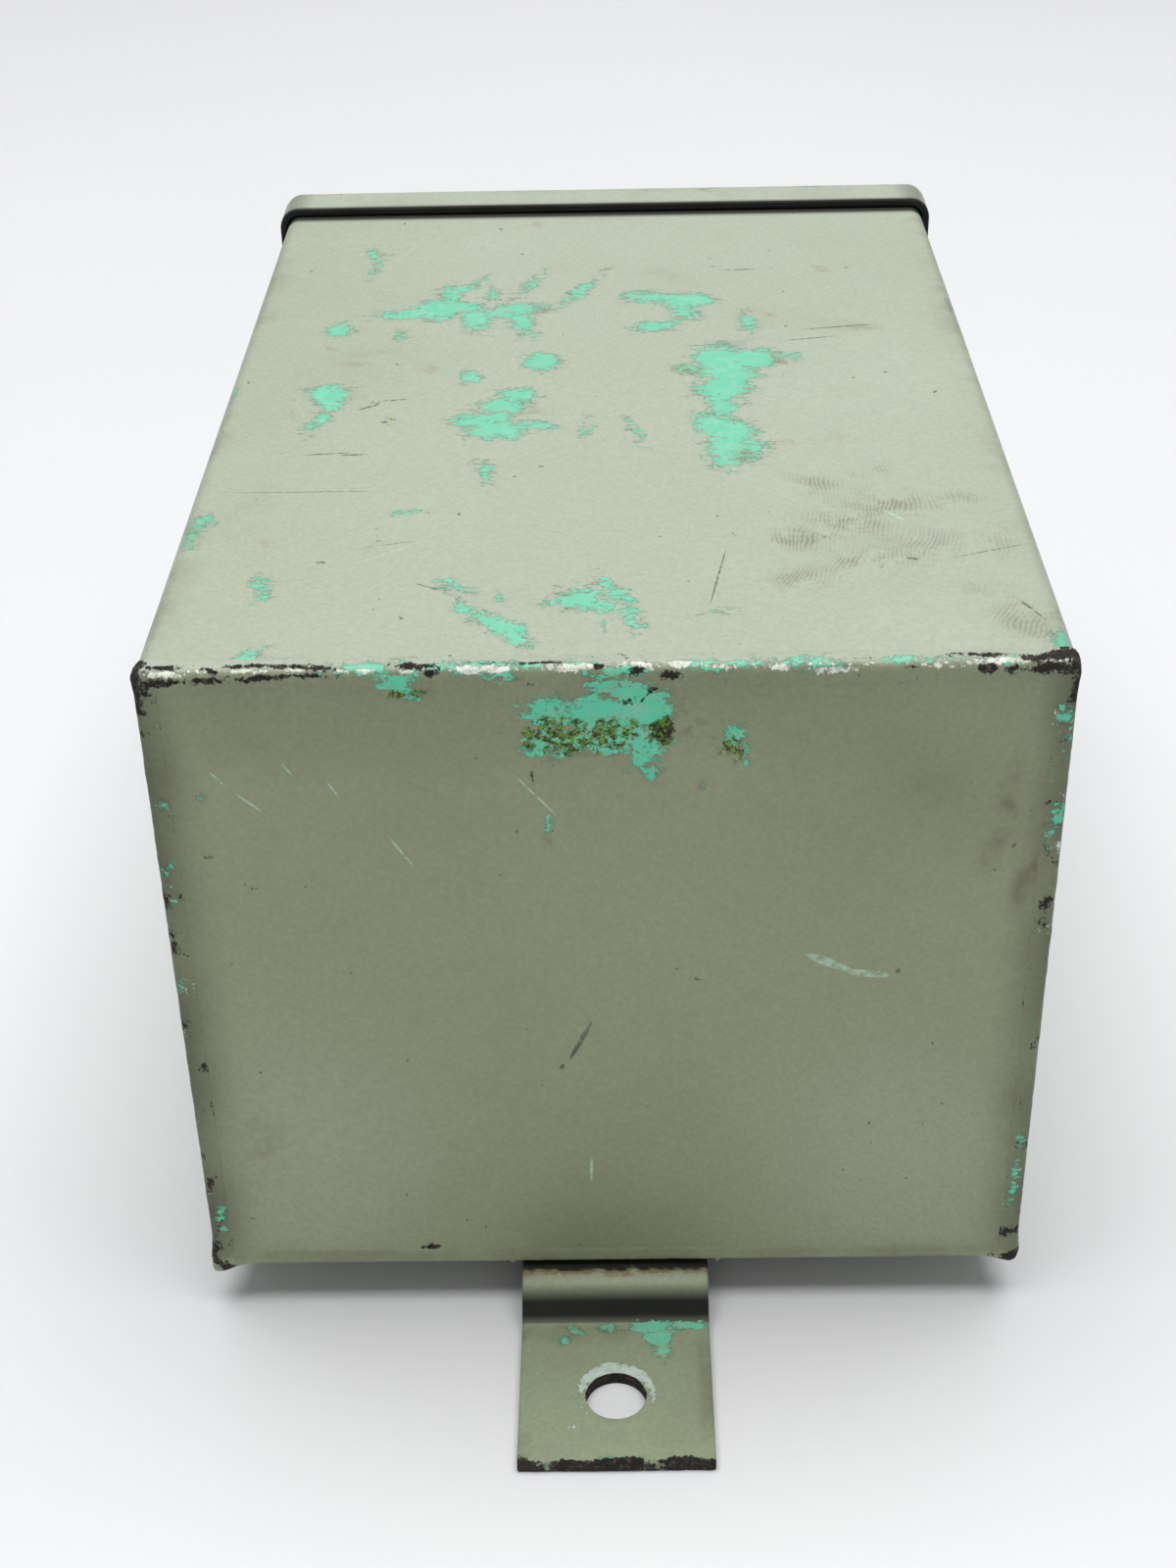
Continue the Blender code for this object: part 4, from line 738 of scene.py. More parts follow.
def make_body(material):
    outer, inner = wrap_path(0), wrap_path(SHEET)
    softened_outer, softened_inner = wrap_path(BURR), wrap_path(SHEET - BURR)
    rows = [WRAP_LOW.y] + spread(WRAP_LOW.y + BURR, MOUTH - BURR, FACE_STEP) + [MOUTH]
    stations = []
    for index, y in enumerate(rows):
        at_end = index in (0, len(rows) - 1)
        pair = (softened_outer, softened_inner) if at_end else (outer, inner)
        made = []
        for path in pair:
            row = []
            for (x, z), (far_x, far_z), (near_x, near_z) in zip(path, outer, inner):
                out = Vector((far_x - near_x, 0, far_z - near_z)).normalized()
                row.append(Vector((x, y, MIDDLE + z)) + out * sheet_sway(far_x, y, MIDDLE + far_z))
            made.append(row)
        stations.append(made)
    body = to_object("body_shell", shell(stations))
    holes = [turned_mesh([(ENTRY_RADIUS, -5 * MM), (ENTRY_RADIUS, 5 * MM)],
                         Vector((side * HALF_WIDTH, ENTRY_Y, ENTRY_Z)), RIGHT, 64) for side in (-1, 1)]
    body = cut(body, *holes)

    p = places_mm(body)
    x, away, z = p[:, 0], p[:, 1] - REAR / MM, p[:, 2] - MIDDLE / MM
    wide, high = HALF_WIDTH / MM, HALF_HEIGHT / MM
    on_top, below = z > high - 0.6, z < 0.6 - high
    on_side = np.abs(x) > wide - 0.6
    mint = np.where(on_top, ellipse_depth(x, away, TOP_MINT) + 0.26, NO_MARK)
    side_chips = ellipse_depth(away - 80, z + 4 * np.sign(x), scattered(11, 26, 76, 44))
    under_chips = ellipse_depth(x, away - 80, scattered(5, 34, 50, 74, 3.2))
    mint = np.where(on_side, side_chips, np.where(below, under_chips, mint))
    from_fold = (wide - np.abs(x)) + (high - np.abs(z))
    patchy = patches(p, 7.0, 1)
    fold_wear = 0.2 - from_fold * 0.45 + patchy * 1.5 - 0.9
    rear_wear = 0.9 - (away - 2.2) * 0.9 + patches(p, 5.0, 2) * 1.3 - 0.8
    hidden = np.where(on_top, -1.2, 0.0)
    mint = np.maximum(mint, np.maximum(fold_wear - 0.3, rear_wear - 0.3) + hidden)
    primer = np.maximum(rear_wear - 0.9, fold_wear - 1.3) + hidden
    bare = np.maximum(rear_wear - 1.1 + patches(p, 9.0, 3) * 1.4,
                      fold_wear - 1.0 + patches(p, 9.0, 4)) + hidden
    bare = np.maximum(bare, np.where(below, under_chips - 1.5, NO_MARK))
    inside = (np.abs(x) < wide - 0.9) & (np.abs(z) < high - 0.9)
    grime = np.where(on_top, soft_strength(x, away, TOP_GRIME), 0.15)
    grime = np.where(below, 0.8, np.where(on_side, 0.2 + 0.5 * np.clip(patches(p, 18.0, 6), 0, 1), grime))
    grime = np.maximum(grime, np.clip(0.60 - from_fold * 0.10, 0, 1) * ~inside)
    prints = np.where(on_top, soft_strength(x, away, TOP_PRINTS), 0.0)
    moss = np.where(on_top, np.clip(ellipse_depth(x, away, TOP_MOSS), 0, 1), 0.0)
    dirt = np.where(on_top, 0.60 * np.clip(ellipse_depth(x, away, TOP_DIRT) + 0.35, 0, 1), 0.0)
    # Painted shadow: the outside of the body turns near black over the last few mm before the cover's lip,
    # for the shaded gap under the lip.
    from_lip = COVER_LOW.y / MM - p[:, 1]
    soot = np.where(inside, 0.0, 0.96 * np.clip((2.7 - from_lip) / 1.3, 0, 1) ** 1.5)
    # Painted shade: the top takes some of the shaded copy of the topcoat, most towards the left and a little
    # at the right edge.
    shade = 0.22 * np.clip((-x - 22) / 26, 0, 1) + 0.08 * np.clip((x - 44) / 10, 0, 1)
    shaded = np.where(on_top, shade, 0.0)
    clean = np.where(inside, NO_MARK, 0.0)
    coat(body, mint=mint + clean, primer=primer + clean, bare=bare + clean, grime=grime, prints=prints,
         moss=moss, soot=soot, shaded=shaded, rust=dirt)
    return show(body, material, "box", "grey_enamel", "body_wrap")


def edge_shade(x, up):
    """Painted shade on the rear wall: darker along its sides and top, towards the bottom, above the foot and
    in a patch at the upper right.
    """
    from_side = HALF_WIDTH / MM - np.abs(x)
    sides = 0.62 * np.clip(1 - from_side / 7.5, 0, 1) ** 1.3
    top = 0.22 * np.clip(1 - (2 * HALF_HEIGHT / MM - up) / 16, 0, 1)
    foot = 0.16 * np.clip(1 - up / 5, 0, 1) + 0.16 * np.exp(-((x / 17) ** 2 + ((up - 6) / 7) ** 2))
    upper_right_shade = 0.15 * np.exp(-(((x - 40) / 20) ** 2 + ((up - 80) / 16) ** 2))
    uneven = 0.85 + 0.3 * patches(np.stack([x, up, x * 0], 1), 12.0, 17)
    return np.maximum(np.maximum(sides, upper_right_shade), np.maximum(top, foot)) * uneven


def make_rear_plate(material):
    """Rear wall: dished a little by the heat of its weld, its edge lost under the bead."""
    wide, low, high = WALL_HIGH.x + 0.6 * MM, WALL_LOW.z - 0.6 * MM, WALL_HIGH.z + 0.6 * MM
    stations = []
    for z in spread(low, high, FACE_STEP):
        front, back = [], []
        for x in spread(-wide, wide, FACE_STEP):
            rim = min(wide - abs(x), z - low, high - z)
            hold = min(1.0, rim / (14 * MM))
            dish = 0.25 * MM * hold * noise.noise(Vector((x, 0.3, z)) * 21)
            front.append(Vector((x, REAR + dish, z)))
            back.append(Vector((x, REAR + SHEET + dish * 0.8, z)))
        stations.append((front, back))
    plate = to_object("rear_plate", shell(stations))
    p = places_mm(plate)
    x, up = p[:, 0], p[:, 2] - UNDERSIDE / MM
    clean = np.where(p[:, 1] > (REAR + SHEET / 2) / MM, NO_MARK, 0.0)
    moss = np.clip(ellipse_depth(x, up, REAR_MOSS) + 0.6, 0, 1)
    spots = ellipse_depth(x, up, REAR_SOOT)
    peel = np.clip(1.5 - np.hypot((x - 1) / 22, (up - 12) / 13), 0, 1) + 0.1
    front = clean >= 0
    # Painted shade: the rear wall takes the shaded copy of the topcoat, less of it in two patches at the
    # lower left and right, which come out lighter.
    lighter_patches = 0.42 * np.exp(-(((np.abs(x) - 38) / 15) ** 2 + ((up - 20) / 20) ** 2))
    coat(plate, mint=ellipse_depth(x, up, REAR_MINT) + clean + 0.1, bare=spots + clean + 0.15,
         shaded=(1 - lighter_patches) * front,
         grime=soft_strength(x, up, REAR_GRIME_AND_SHADE) * front, moss=moss * front, soot=edge_shade(x, up) * front,
         peel=peel)
    return show(plate, material, "box", "grey_enamel", "rear_wall")


# Section of the rear weld, ground to a soft edge: depth in from the outer face, then along from the rear.
WELD_SECTION = (
    (3.0, 0.30), (2.9, 0.02), (2.6, -0.04), (2.2, -0.09), (1.8, -0.11), (1.4, -0.10), (1.0, -0.04),
    (0.7, 0.05), (0.45, 0.18), (0.25, 0.38), (0.10, 0.66), (0.01, 1.0), (-0.05, 1.4), (-0.07, 1.8),
    (-0.06, 2.2), (-0.03, 2.6), (0.02, 2.95), (0.4, 3.1), (1.6, 2.4),
)
WELD_NUBS = ((-1, -1, 1.3), (1, -1, 0.8), (-1, 1, 0.42), (1, 1, 0.40))


def weld_ring(inset, along_box, shares=230):
    """One line of the weld round the rear wall's edge, with its lumps and its corner nubs."""
    radius = max(BODY_BEND - inset, 0.35 * MM)
    half_width, half_height = HALF_WIDTH - inset, HALF_HEIGHT - inset
    made = []
    for x, z in divided_rectangle(half_width, half_height, radius, shares):
        place = Vector((x, REAR + along_box, MIDDLE + z))
        out = Vector((x / HALF_WIDTH, 0, z / HALF_HEIGHT)) - AWAY * max(0.0, 1 - along_box / (1.2 * MM))
        out.normalize()
        buried = max(0.0, inset - 2.9 * MM) > 0 or along_box > 3.0 * MM
        lumps = noise.noise(place / (2.6 * MM)) + 0.7 * noise.noise(place / (0.9 * MM))
        grown = 0.0 if buried else 0.07 * MM * lumps * (1.5 if z > 0.9 * half_height else 1.0)
        drop = 0.0
        for nub_x, nub_z, size in WELD_NUBS:
            reach = math.hypot(x - nub_x * HALF_WIDTH, z - nub_z * HALF_HEIGHT)
            near = math.exp(-(reach / (2.6 * MM)) ** 2)
            grown += size * MM * near * (1.0 + 0.25 * lumps)
            drop += 0.9 * size * MM * near * (nub_z < 0)
        made.append(place + out * grown - UP * drop)
    return made


def make_rear_bead(material):
    rings = [weld_ring(inset * MM, along_box * MM) for inset, along_box in WELD_SECTION]
    bead = to_object("rear_bead", loft(rings, closed=True))
    p = places_mm(bead)
    x, up, away = p[:, 0], p[:, 2] - UNDERSIDE / MM, p[:, 1] - REAR / MM
    high = 2 * HALF_HEIGHT / MM
    over = np.clip(away, 0, None) - np.clip(high - up, 0, None)
    top = up > high - 6
    low_corner = np.exp(-(np.hypot(np.abs(x) - 54, up - 1) / 2.6) ** 2)
    sides = ~top & (up > 3)
    black = np.where(top, ellipse_depth(x, over, BEAD_BLACK), NO_MARK)
    pale = np.where(top, ellipse_depth(x, over, BEAD_PALE), NO_MARK)
    mint = np.where(top, ellipse_depth(x, over, BEAD_MINT), NO_MARK)
    high_corner = np.exp(-(np.hypot(np.abs(x) - 54.8, up - high + 0.6) / 2.2) ** 2)
    flaked = np.clip((x + 29) / 4, 0, 1) * np.clip((48 - x) / 8, 0, 1)
    pale = np.maximum(pale - 0.35, np.where(top, 0.10 - 0.15 * flaked - np.abs(over - 0.1) * 0.8, NO_MARK))
    flakes = flaked * 0.3 - 0.35 - np.abs(over - 0.4) * 0.7
    mint = np.maximum(mint, np.where(top & (flaked > 0), flakes, NO_MARK))
    black = np.maximum(black, np.where(top, 1.5 * high_corner - 0.75 + 0.5 * patches(p, 1.4, 16), NO_MARK))
    speckle = patches(p, 3.0, 12)
    worn = -0.72 + speckle * 0.9 + low_corner * 1.6 - 0.5 * (up < 3)
    black = np.maximum(black, np.where(top, NO_MARK, worn))
    pale = np.maximum(pale, np.where(sides, -0.75 + 0.6 * patches(p, 2.6, 15), NO_MARK))
    mint = np.maximum(mint, ellipse_depth(x, up, REAR_MINT))
    mint = np.maximum(mint, np.where(sides, -1.25 + patches(p, 4.4, 14) * 1.3 + low_corner, NO_MARK))
    # Painted shade: the bead's face towards the rear takes the shaded copy of the topcoat, and the rear
    # wall's painted edge shade runs on over the bead.
    shaded = 1 - np.clip((away - 0.1) / 0.8, 0, 1)
    on_end = np.where(top | (up < 3), shaded, 1)
    coat(bead, mint=mint, primer=pale, bare=black - 0.05, shaded=shaded, grime=np.where(top, 0.20, 0.45),
         soot=edge_shade(x, up) * on_end * (up > 1.5))
    return show(bead, material, "box", "painted_weld", "rear_weld", sharp=60)


def make_seam(material):
    """Butt weld on the underside, ground nearly flush."""
    z = (SEAM_LOW.z + SEAM_HIGH.z) / 2
    half = (SEAM_HIGH.x - SEAM_LOW.x) / 2
    stations = []
    for y in spread(SEAM_LOW.y, SEAM_HIGH.y, 0.5 * MM):
        proud = 0.14 * MM * (0.4 + abs(noise.noise(Vector((0, y, 0)) / (1.6 * MM))))
        xs = spread(-half, half, half / 3)
        low = [Vector((SEAM_X + x, y, SEAM_LOW.z - proud * (1 - (x / half) ** 2))) for x in xs]
        high = [Vector((SEAM_X + x, y, SEAM_HIGH.z + proud * (1 - (x / half) ** 2))) for x in xs]
        stations.append((low, high))
    seam = to_object("seam_bead", shell(stations))
    p = places_mm(seam)
    coat(seam, mint=patches(p, 9.0, 21) * 1.4 - 1.2, bare=patches(p, 7.0, 22) * 1.4 - 1.1,
         grime=np.full(len(p), 0.5))
    return show(seam, material, "box", "painted_weld", "seam_weld")


# ---- feet ------------------------------------------------------------------------------------------------

FOOT_SHEET = 1.9 * MM
FOOT_TOP_GAP = 0.5 * MM
JOGGLE_ANGLE = 55
JOGGLE_OUTER = 4.5 * MM
JOGGLE_INNER = 1.6 * MM
FOOT_HOLE = 3.95 * MM
FOOT_TIP = 11.0 * MM


def strap_surfaces(lap_end, pad_start, tip, sink_low, sink_high):
    """Top and underside of a joggled strap, as outward distance and height, with softened ends."""
    top = UNDERSIDE - FOOT_TOP_GAP
    turn = math.radians(JOGGLE_ANGLE)
    rise = top - FOOT_SHEET - (JOGGLE_OUTER + JOGGLE_INNER) * (1 - math.cos(turn))
    run = rise / math.tan(turn) + (JOGGLE_OUTER + JOGGLE_INNER) * math.sin(turn)
    surfaces = []
    for sink, soften in ((sink_high, 1), (FOOT_SHEET - sink_low, -1)):
        upper = arc((pad_start - run, top - JOGGLE_OUTER), JOGGLE_OUTER - sink, 90, 90 - JOGGLE_ANGLE, 10)
        lower = arc((pad_start, FOOT_SHEET + JOGGLE_INNER), JOGGLE_INNER + sink, 270 - JOGGLE_ANGLE, 270, 8)
        start, end = (lap_end, top - sink), (tip, FOOT_SHEET - sink)
        near_end = (tip - BURR, end[1])
        lap = [(lap_end, start[1] - soften * BURR), (lap_end + BURR, start[1])]
        lap_steps = spread(lap_end + BURR, upper[0][0], 0.7 * MM)[1:-1]
        slope = between(upper[-1], lower[0], 0.5 * MM)
        if soften > 0:
            slope_count = len(slope)
        else:
            share = [(i + 1) / (slope_count + 1) for i in range(slope_count)]
            slope = [(upper[-1][0] + (lower[0][0] - upper[-1][0]) * t,
                      upper[-1][1] + (lower[0][1] - upper[-1][1]) * t) for t in share]
        pad_steps = spread(lower[-1][0], near_end[0], 0.5 * MM)[1:-1]
        path = lap + [(a, start[1]) for a in lap_steps] + upper + slope + lower
        path += [(a, end[1]) for a in pad_steps] + [near_end, (tip, end[1] - soften * BURR)]
        surfaces.append(path)
    return surfaces


def make_foot(name, node, wall, outward, material):
    """Joggled strap foot with its screw hole; outward is -1 at the rear and +1 at the cover."""
    low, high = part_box(node)
    half = (high.x - low.x) / 2
    ends = sorted(((low.y - wall) * outward, (high.y - wall) * outward))
    hole_reach = ends[1] - FOOT_TIP
    pad_start = 6.8 * MM if outward < 0 else COVER_LOW.y - 2.0 * MM - COVER_HIGH.y
    stations = []
    for x in [-half] + spread(-half + BURR, half - BURR, 0.5 * MM) + [half]:
        at_side = BURR if abs(x) > half - BURR / 2 else 0.0
        surfaces = strap_surfaces(ends[0], pad_start, ends[1], at_side, at_side)
        row_pair = []
        for surface in surfaces:
            row = []
            for reach, z in surface:
                from_hole = math.hypot(x, reach - hole_reach)
                on_pad = reach > pad_start
                lift = 0.16 * MM * math.exp(-((from_hole - 4.9 * MM) / (0.45 * MM)) ** 2) if on_pad else 0.0
                lift *= 0.7 + 0.5 * noise.noise(Vector((x, reach, 0)) / (1.2 * MM))
                lift *= 1.0 if z > FOOT_SHEET * 0.7 else 0.0
                ragged = 0.0
                if reach > ends[1] - BURR / 2:
                    ragged = 0.25 * MM * noise.noise(Vector((x, reach, 5)) / (2.0 * MM))
                row.append(Vector((x, wall + outward * (reach - abs(ragged)), z + lift)))
            row_pair.append(row)
        stations.append(row_pair)
    foot = to_object(name, shell(stations))
    centre = Vector((0, wall + outward * hole_reach, 0))
    foot = cut(foot, turned_mesh([(FOOT_HOLE, -3 * MM), (FOOT_HOLE, 9 * MM)], centre, UP, 70))

    p = places_mm(foot)
    x, reach, z = p[:, 0], (p[:, 1] - wall / MM) * outward, p[:, 2]
    from_hole = np.hypot(x, reach - hole_reach / MM)
    on_top = z > FOOT_SHEET / MM * 0.6
    pad = on_top & (reach > pad_start / MM - 1.6)
    shift = 0 if outward < 0 else pad_start / MM - 6.8
    mint = np.where(pad, ellipse_depth(x, reach - shift, PAD_MINT) + 0.25, NO_MARK)
    tip = ends[1] / MM - reach
    wallward = (hole_reach / MM - reach) / np.maximum(from_hole, 1.0)
    worn_ring = np.where(pad, 0.25 + 0.62 * wallward - np.abs(from_hole - 4.8) * 0.8, NO_MARK)
    worn_ring = np.maximum(worn_ring, np.where(pad, -0.05 - np.abs(from_hole - 5.4) * 1.6, NO_MARK))
    worn_ring = np.maximum(worn_ring, np.where(pad, ellipse_depth(x, reach - shift, PAD_PALE), NO_MARK))
    tip_wear = 0.45 - np.minimum(tip, 12.7 - np.abs(x) + 0.6) * 0.9 + patches(p, 2.4, 31) * 0.5
    bare = np.maximum(tip_wear - np.where(tip < 1.5, 0.0, 0.7), np.where(from_hole < 4.05, 0.9, NO_MARK))
    upper = reach - (pad_start / MM - 6.8)
    torn_edge = 1.15 - upper + patches(p, 1.6, 33) * 0.35
    # Painted shadow: black in the gap under the box, above the strap's torn paint edge.
    gap_shade = np.clip(torn_edge * 3.0, 0, 1)
    rust = np.where(on_top, np.clip(1.4 - np.abs(torn_edge + 0.15) * 3.0, 0, 1), 0.0)
    # Painted shadow: the box's shadow falling across the joggle's slope, dark over the slope and easing off
    # before the pad.
    slope = np.clip((upper - 2.8) / 1.6, 0, 1) * (0.72 + 0.28 * np.clip((6.1 - upper) / 0.6, 0, 1))
    slope *= np.clip((6.55 - upper) / 0.3, 0, 1)
    grime = 0.25 + 0.3 * np.clip(np.abs(x) - 10.5, 0, 1) + 0.2 * np.exp(-((upper - 8.0) / 2.0) ** 2)
    coat(foot, mint=np.maximum(mint, tip_wear - 0.5), primer=worn_ring, bare=bare, rust=rust, grime=grime,
         soot=0.985 * np.maximum(slope, gap_shade) * on_top, peel=np.full(len(p), 0.35))
    return show(foot, material, "box", "grey_enamel", node)


def make_foot_weld(name, node, outward, material):
    """Fillet round three sides of the strap's lap."""
    low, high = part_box(node)
    radius = (high.z - low.z) / 2
    side = high.x - radius
    near, far = (low.y, high.y - radius) if outward < 0 else (high.y, low.y + radius)
    z = (low.z + high.z) / 2
    corner = 1.6 * MM
    bend = arc((side - corner, 0), corner, 0, 90, 6)
    half = [Vector((x, far + outward * (corner - along_), z)) for x, along_ in bend]
    mirrored = [Vector((-p.x, p.y, p.z)) for p in reversed(half)]
    route = along([Vector((side, near, z))] + half + mirrored + [Vector((-side, near, z))], 0.5 * MM)
    weld = to_object(name, bead_mesh(route, UP, radius * 1.02, False, 0.22))
    p = places_mm(weld)
    coat(weld, mint=patches(p, 6.0, 41) * 1.3 - 1.2, bare=patches(p, 5.0, 42) * 1.5 - 0.6,
         grime=np.full(len(p), 0.6))
    return show(weld, material, "box", "painted_weld", node, sharp=60)


# ---- cover -----------------------------------------------------------------------------------------------

SCREW_NAMES = ("top_left", "top_right", "bottom_left", "bottom_right")
SHANK_HOLE = 3.5 * MM


def centre_of(node):
    low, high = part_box(node)
    return (low + high) / 2


def cover_ring(inset, y, bulge=0.0):
    """One outline of the cover, inset from its outside, at a distance along the box."""
    half_width = COVER_HIGH.x - inset
    half_height = (COVER_HIGH.z - COVER_LOW.z) / 2 - inset
    radius = max(COVER_CORNER - inset, 0.3 * MM)
    made = []
    for x, z in divided_rectangle(half_width, half_height, radius, 44):
        wave = 0.12 * MM * noise.noise(Vector((x, y, z)) * 26) * min(1.0, inset / (6 * MM))
        lip = 0.14 * MM * noise.noise(Vector((x, 3.0, z)) * 22) * max(0.0, 1 - inset / (2 * MM))
        out = Vector((x / HALF_WIDTH, 0, z / HALF_HEIGHT))
        made.append(Vector((x, y + wave - bulge, MIDDLE + z)) + out * (lip - 0.14 * MM))
    return made


def make_cover(material):
    front = COVER_HIGH.y
    edge = COVER_LOW.y

    def skin(offset):
        rings = [(offset, y) for y in spread(edge + BURR, front - COVER_BEND, 1.3 * MM)]
        for a, b in arc((COVER_BEND, -COVER_BEND), COVER_BEND - offset, 180, 90, 6)[1:]:
            rings.append((a, front + b))
        half_height = (COVER_HIGH.z - COVER_LOW.z) / 2
        for inset in spread(COVER_BEND + 2 * MM, half_height - 3 * MM, 3 * MM):
            rings.append((inset, front - offset))
        return rings

    outer = skin(0.0)
    inner = skin(COVER_SHEET)
    lip = [(COVER_SHEET - BURR, edge), (BURR, edge)]
    rings = [cover_ring(inset, y) for inset, y in inner[::-1] + lip + outer]
    cover = to_object("cover_pan", loft(rings))
    holes = []
    for name in SCREW_NAMES:
        centre = centre_of("cover_screw_" + name)
        centre.y = front
        holes.append(turned_mesh([(SHANK_HOLE, -4 * MM), (SHANK_HOLE, 4 * MM)], centre, AWAY, 48))
    cover = cut(cover, *holes)
    p = places_mm(cover)
    x, y, z = p[:, 0], p[:, 1], p[:, 2] - MIDDLE / MM
    a = COVER_HIGH.x / MM - np.abs(x)
    b = (COVER_HIGH.z - COVER_LOW.z) / 2 / MM - np.abs(z)
    c = front / MM - y
    closeness = np.sort(np.stack([a, b, np.abs(c)]), axis=0)
    from_edge = closeness[0] + closeness[1]
    wear = 0.3 - from_edge * 0.5 + patches(p, 6.0, 51) * 1.4 - 0.6
    inside = closeness[0] > 0.9
    clean = np.where(inside, NO_MARK, 0.0)
    face = closeness[0] == np.abs(c)
    chips = np.where(face, ellipse_depth(x, z, scattered(23, 22, 52, 44, 2.6)), NO_MARK)
    holes_wear = NO_MARK
    for name in SCREW_NAMES:
        centre = centre_of("cover_screw_" + name) / MM
        ring = 0.5 - np.abs(np.hypot(x - centre.x, z - centre.z + MIDDLE / MM) - 6.4) * 1.2
        holes_wear = np.maximum(holes_wear, np.where(face, ring, NO_MARK))
    corner = np.clip(2.2 - (a + b) * 0.35, 0, 1)
    # Painted shadow: the lip's free edge turns near black, for the shaded gap under it. The pan's corner
    # edges are also darker and browner.
    lip_edge = np.exp(-((y - edge / MM) / 0.9) ** 2)
    coat(cover, mint=np.maximum(np.maximum(wear, chips), holes_wear - 0.3) + clean,
         primer=np.maximum(wear - 1.2, holes_wear - 0.9) + clean,
         bare=wear - 0.8 + patches(p, 8.0, 52) - 2 * lip_edge + clean,
         grime=0.25 + 0.5 * corner + 0.3 * lip_edge,
         soot=np.maximum(0.40 * corner * ~inside, 0.99 * np.exp(-((y - edge / MM) / 0.85) ** 4)))
    return show(cover, material, "cover", "grey_enamel", "cover")


def make_gasket(material):
    low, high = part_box("cover_gasket")
    half_width, half_height = high.x, (high.z - low.z) / 2
    width, soft = 5.4 * MM, 0.35 * MM
    rings = []
    for inset, y in ((soft, low.y), (width - soft, low.y), (width, low.y + soft), (width, high.y - soft),
                     (width - soft, high.y), (soft, high.y), (0, high.y - soft), (0, low.y + soft)):
        radius = max(2.2 * MM - inset * 0.2, MM)
        outline = rounded_rectangle(half_width - inset, half_height - inset, radius, UNDIVIDED)
        rings.append([Vector((x, y, MIDDLE + z)) for x, z in outline])
    gasket = to_object("mouth_gasket", loft(rings, closed=True))
    return show(gasket, material, "cover", "neoprene", "cover_gasket")


# ---- screws, washers and nuts ----------------------------------------------------------------------------

def threaded_rings(core, depth, pitch, start, end, sides=36):
    """Rings of a screw thread, from start to end along the local axis, run out at both ends."""
    rings = []
    span = abs(end - start)
    for y in spread(start, end, pitch / 6):
        done = abs(y - start)
        fade = min(1.0, done / pitch, (span - done) / pitch)
        ring = []
        for side in range(sides):
            phase = (y / pitch - side / sides) % 1.0
            crest = 1 - abs(2 * phase - 1)
            radius = core - depth * fade * (1 - crest)
            angle = 2 * math.pi * side / sides
            ring.append(Vector((radius * math.cos(angle), radius * math.sin(angle), y)))
        rings.append(ring)
    return rings


def make_screw(name, node, body, material, slot, axis, head_height, shank, pitch, turn, driver=1.7 * MM,
               sides=36):
    """Slotted screw with a domed, cheese-sided head and a real helical thread."""
    low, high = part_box(node)
    head_end = high if axis.x + axis.y + axis.z > 0 else low
    tip_end = low if axis.x + axis.y + axis.z > 0 else high
    length = abs((head_end - tip_end).dot(axis)) - head_height
    middle = (low + high) / 2
    across = max(high.x - low.x if abs(axis.x) < 0.5 else 0, high.z - low.z if abs(axis.z) < 0.5 else 0) / 2
    base = middle + axis * ((head_end - middle).dot(axis) - head_height)
    dome = [(across * math.sin(math.radians(a)), head_height * (0.62 + 0.38 * math.cos(math.radians(a))))
            for a in (3, 20, 38, 55, 70, 82, 90)]
    soft = 0.25 * MM
    profile = dome + [(across, head_height * 0.2), (across, soft), (across - soft, 0), (shank, 0)]
    rings = [level_ring(radius, height, sides) for radius, height in profile]
    rings += threaded_rings(shank, 0.30 * pitch, pitch, -0.6 * MM, -length + 0.7 * MM, sides)
    for radius, height in ((shank - 0.45 * MM, -length + 0.3 * MM), (shank - 0.9 * MM, -length)):
        rings.append(level_ring(radius, height, sides))
    stand = Matrix.Translation(base) @ towards(axis)
    screw = to_object(name, loft([[stand @ p for p in ring] for ring in rings]))
    slot_depth = 0.42 * head_height
    bm = bmesh.new()
    bmesh.ops.create_cube(bm, size=1)
    bmesh.ops.scale(bm, vec=(3 * across, driver * 0.8, 2 * slot_depth), verts=bm.verts)
    turn_matrix = stand @ Matrix.Translation((0, 0, head_height)) @ Matrix.Rotation(turn, 4, "Z")
    bmesh.ops.transform(bm, matrix=turn_matrix, verts=bm.verts)
    screw = cut(screw, bm)
    return show(screw, material, body, slot, node)


def make_ring(name, node, body, material, slot, axis, bore, soft=0.2 * MM, dish=0.0):
    """Washer or gasket with rounded edges, read from its node's box."""
    low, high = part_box(node)
    thickness = abs((high - low).dot(axis))
    radius = max((high - low)) / 2
    base = (low + high) / 2 - axis * (thickness / 2)
    profile = [(radius - soft, thickness - dish), (radius, thickness - soft - dish), (radius, soft),
               (radius - soft, 0), (bore + soft, 0), (bore, soft), (bore, thickness - soft),
               (bore + soft, thickness)]
    ring = to_object(name, turned_mesh(profile, base, axis, 48, closed=True))
    return show(ring, material, body, slot, node)


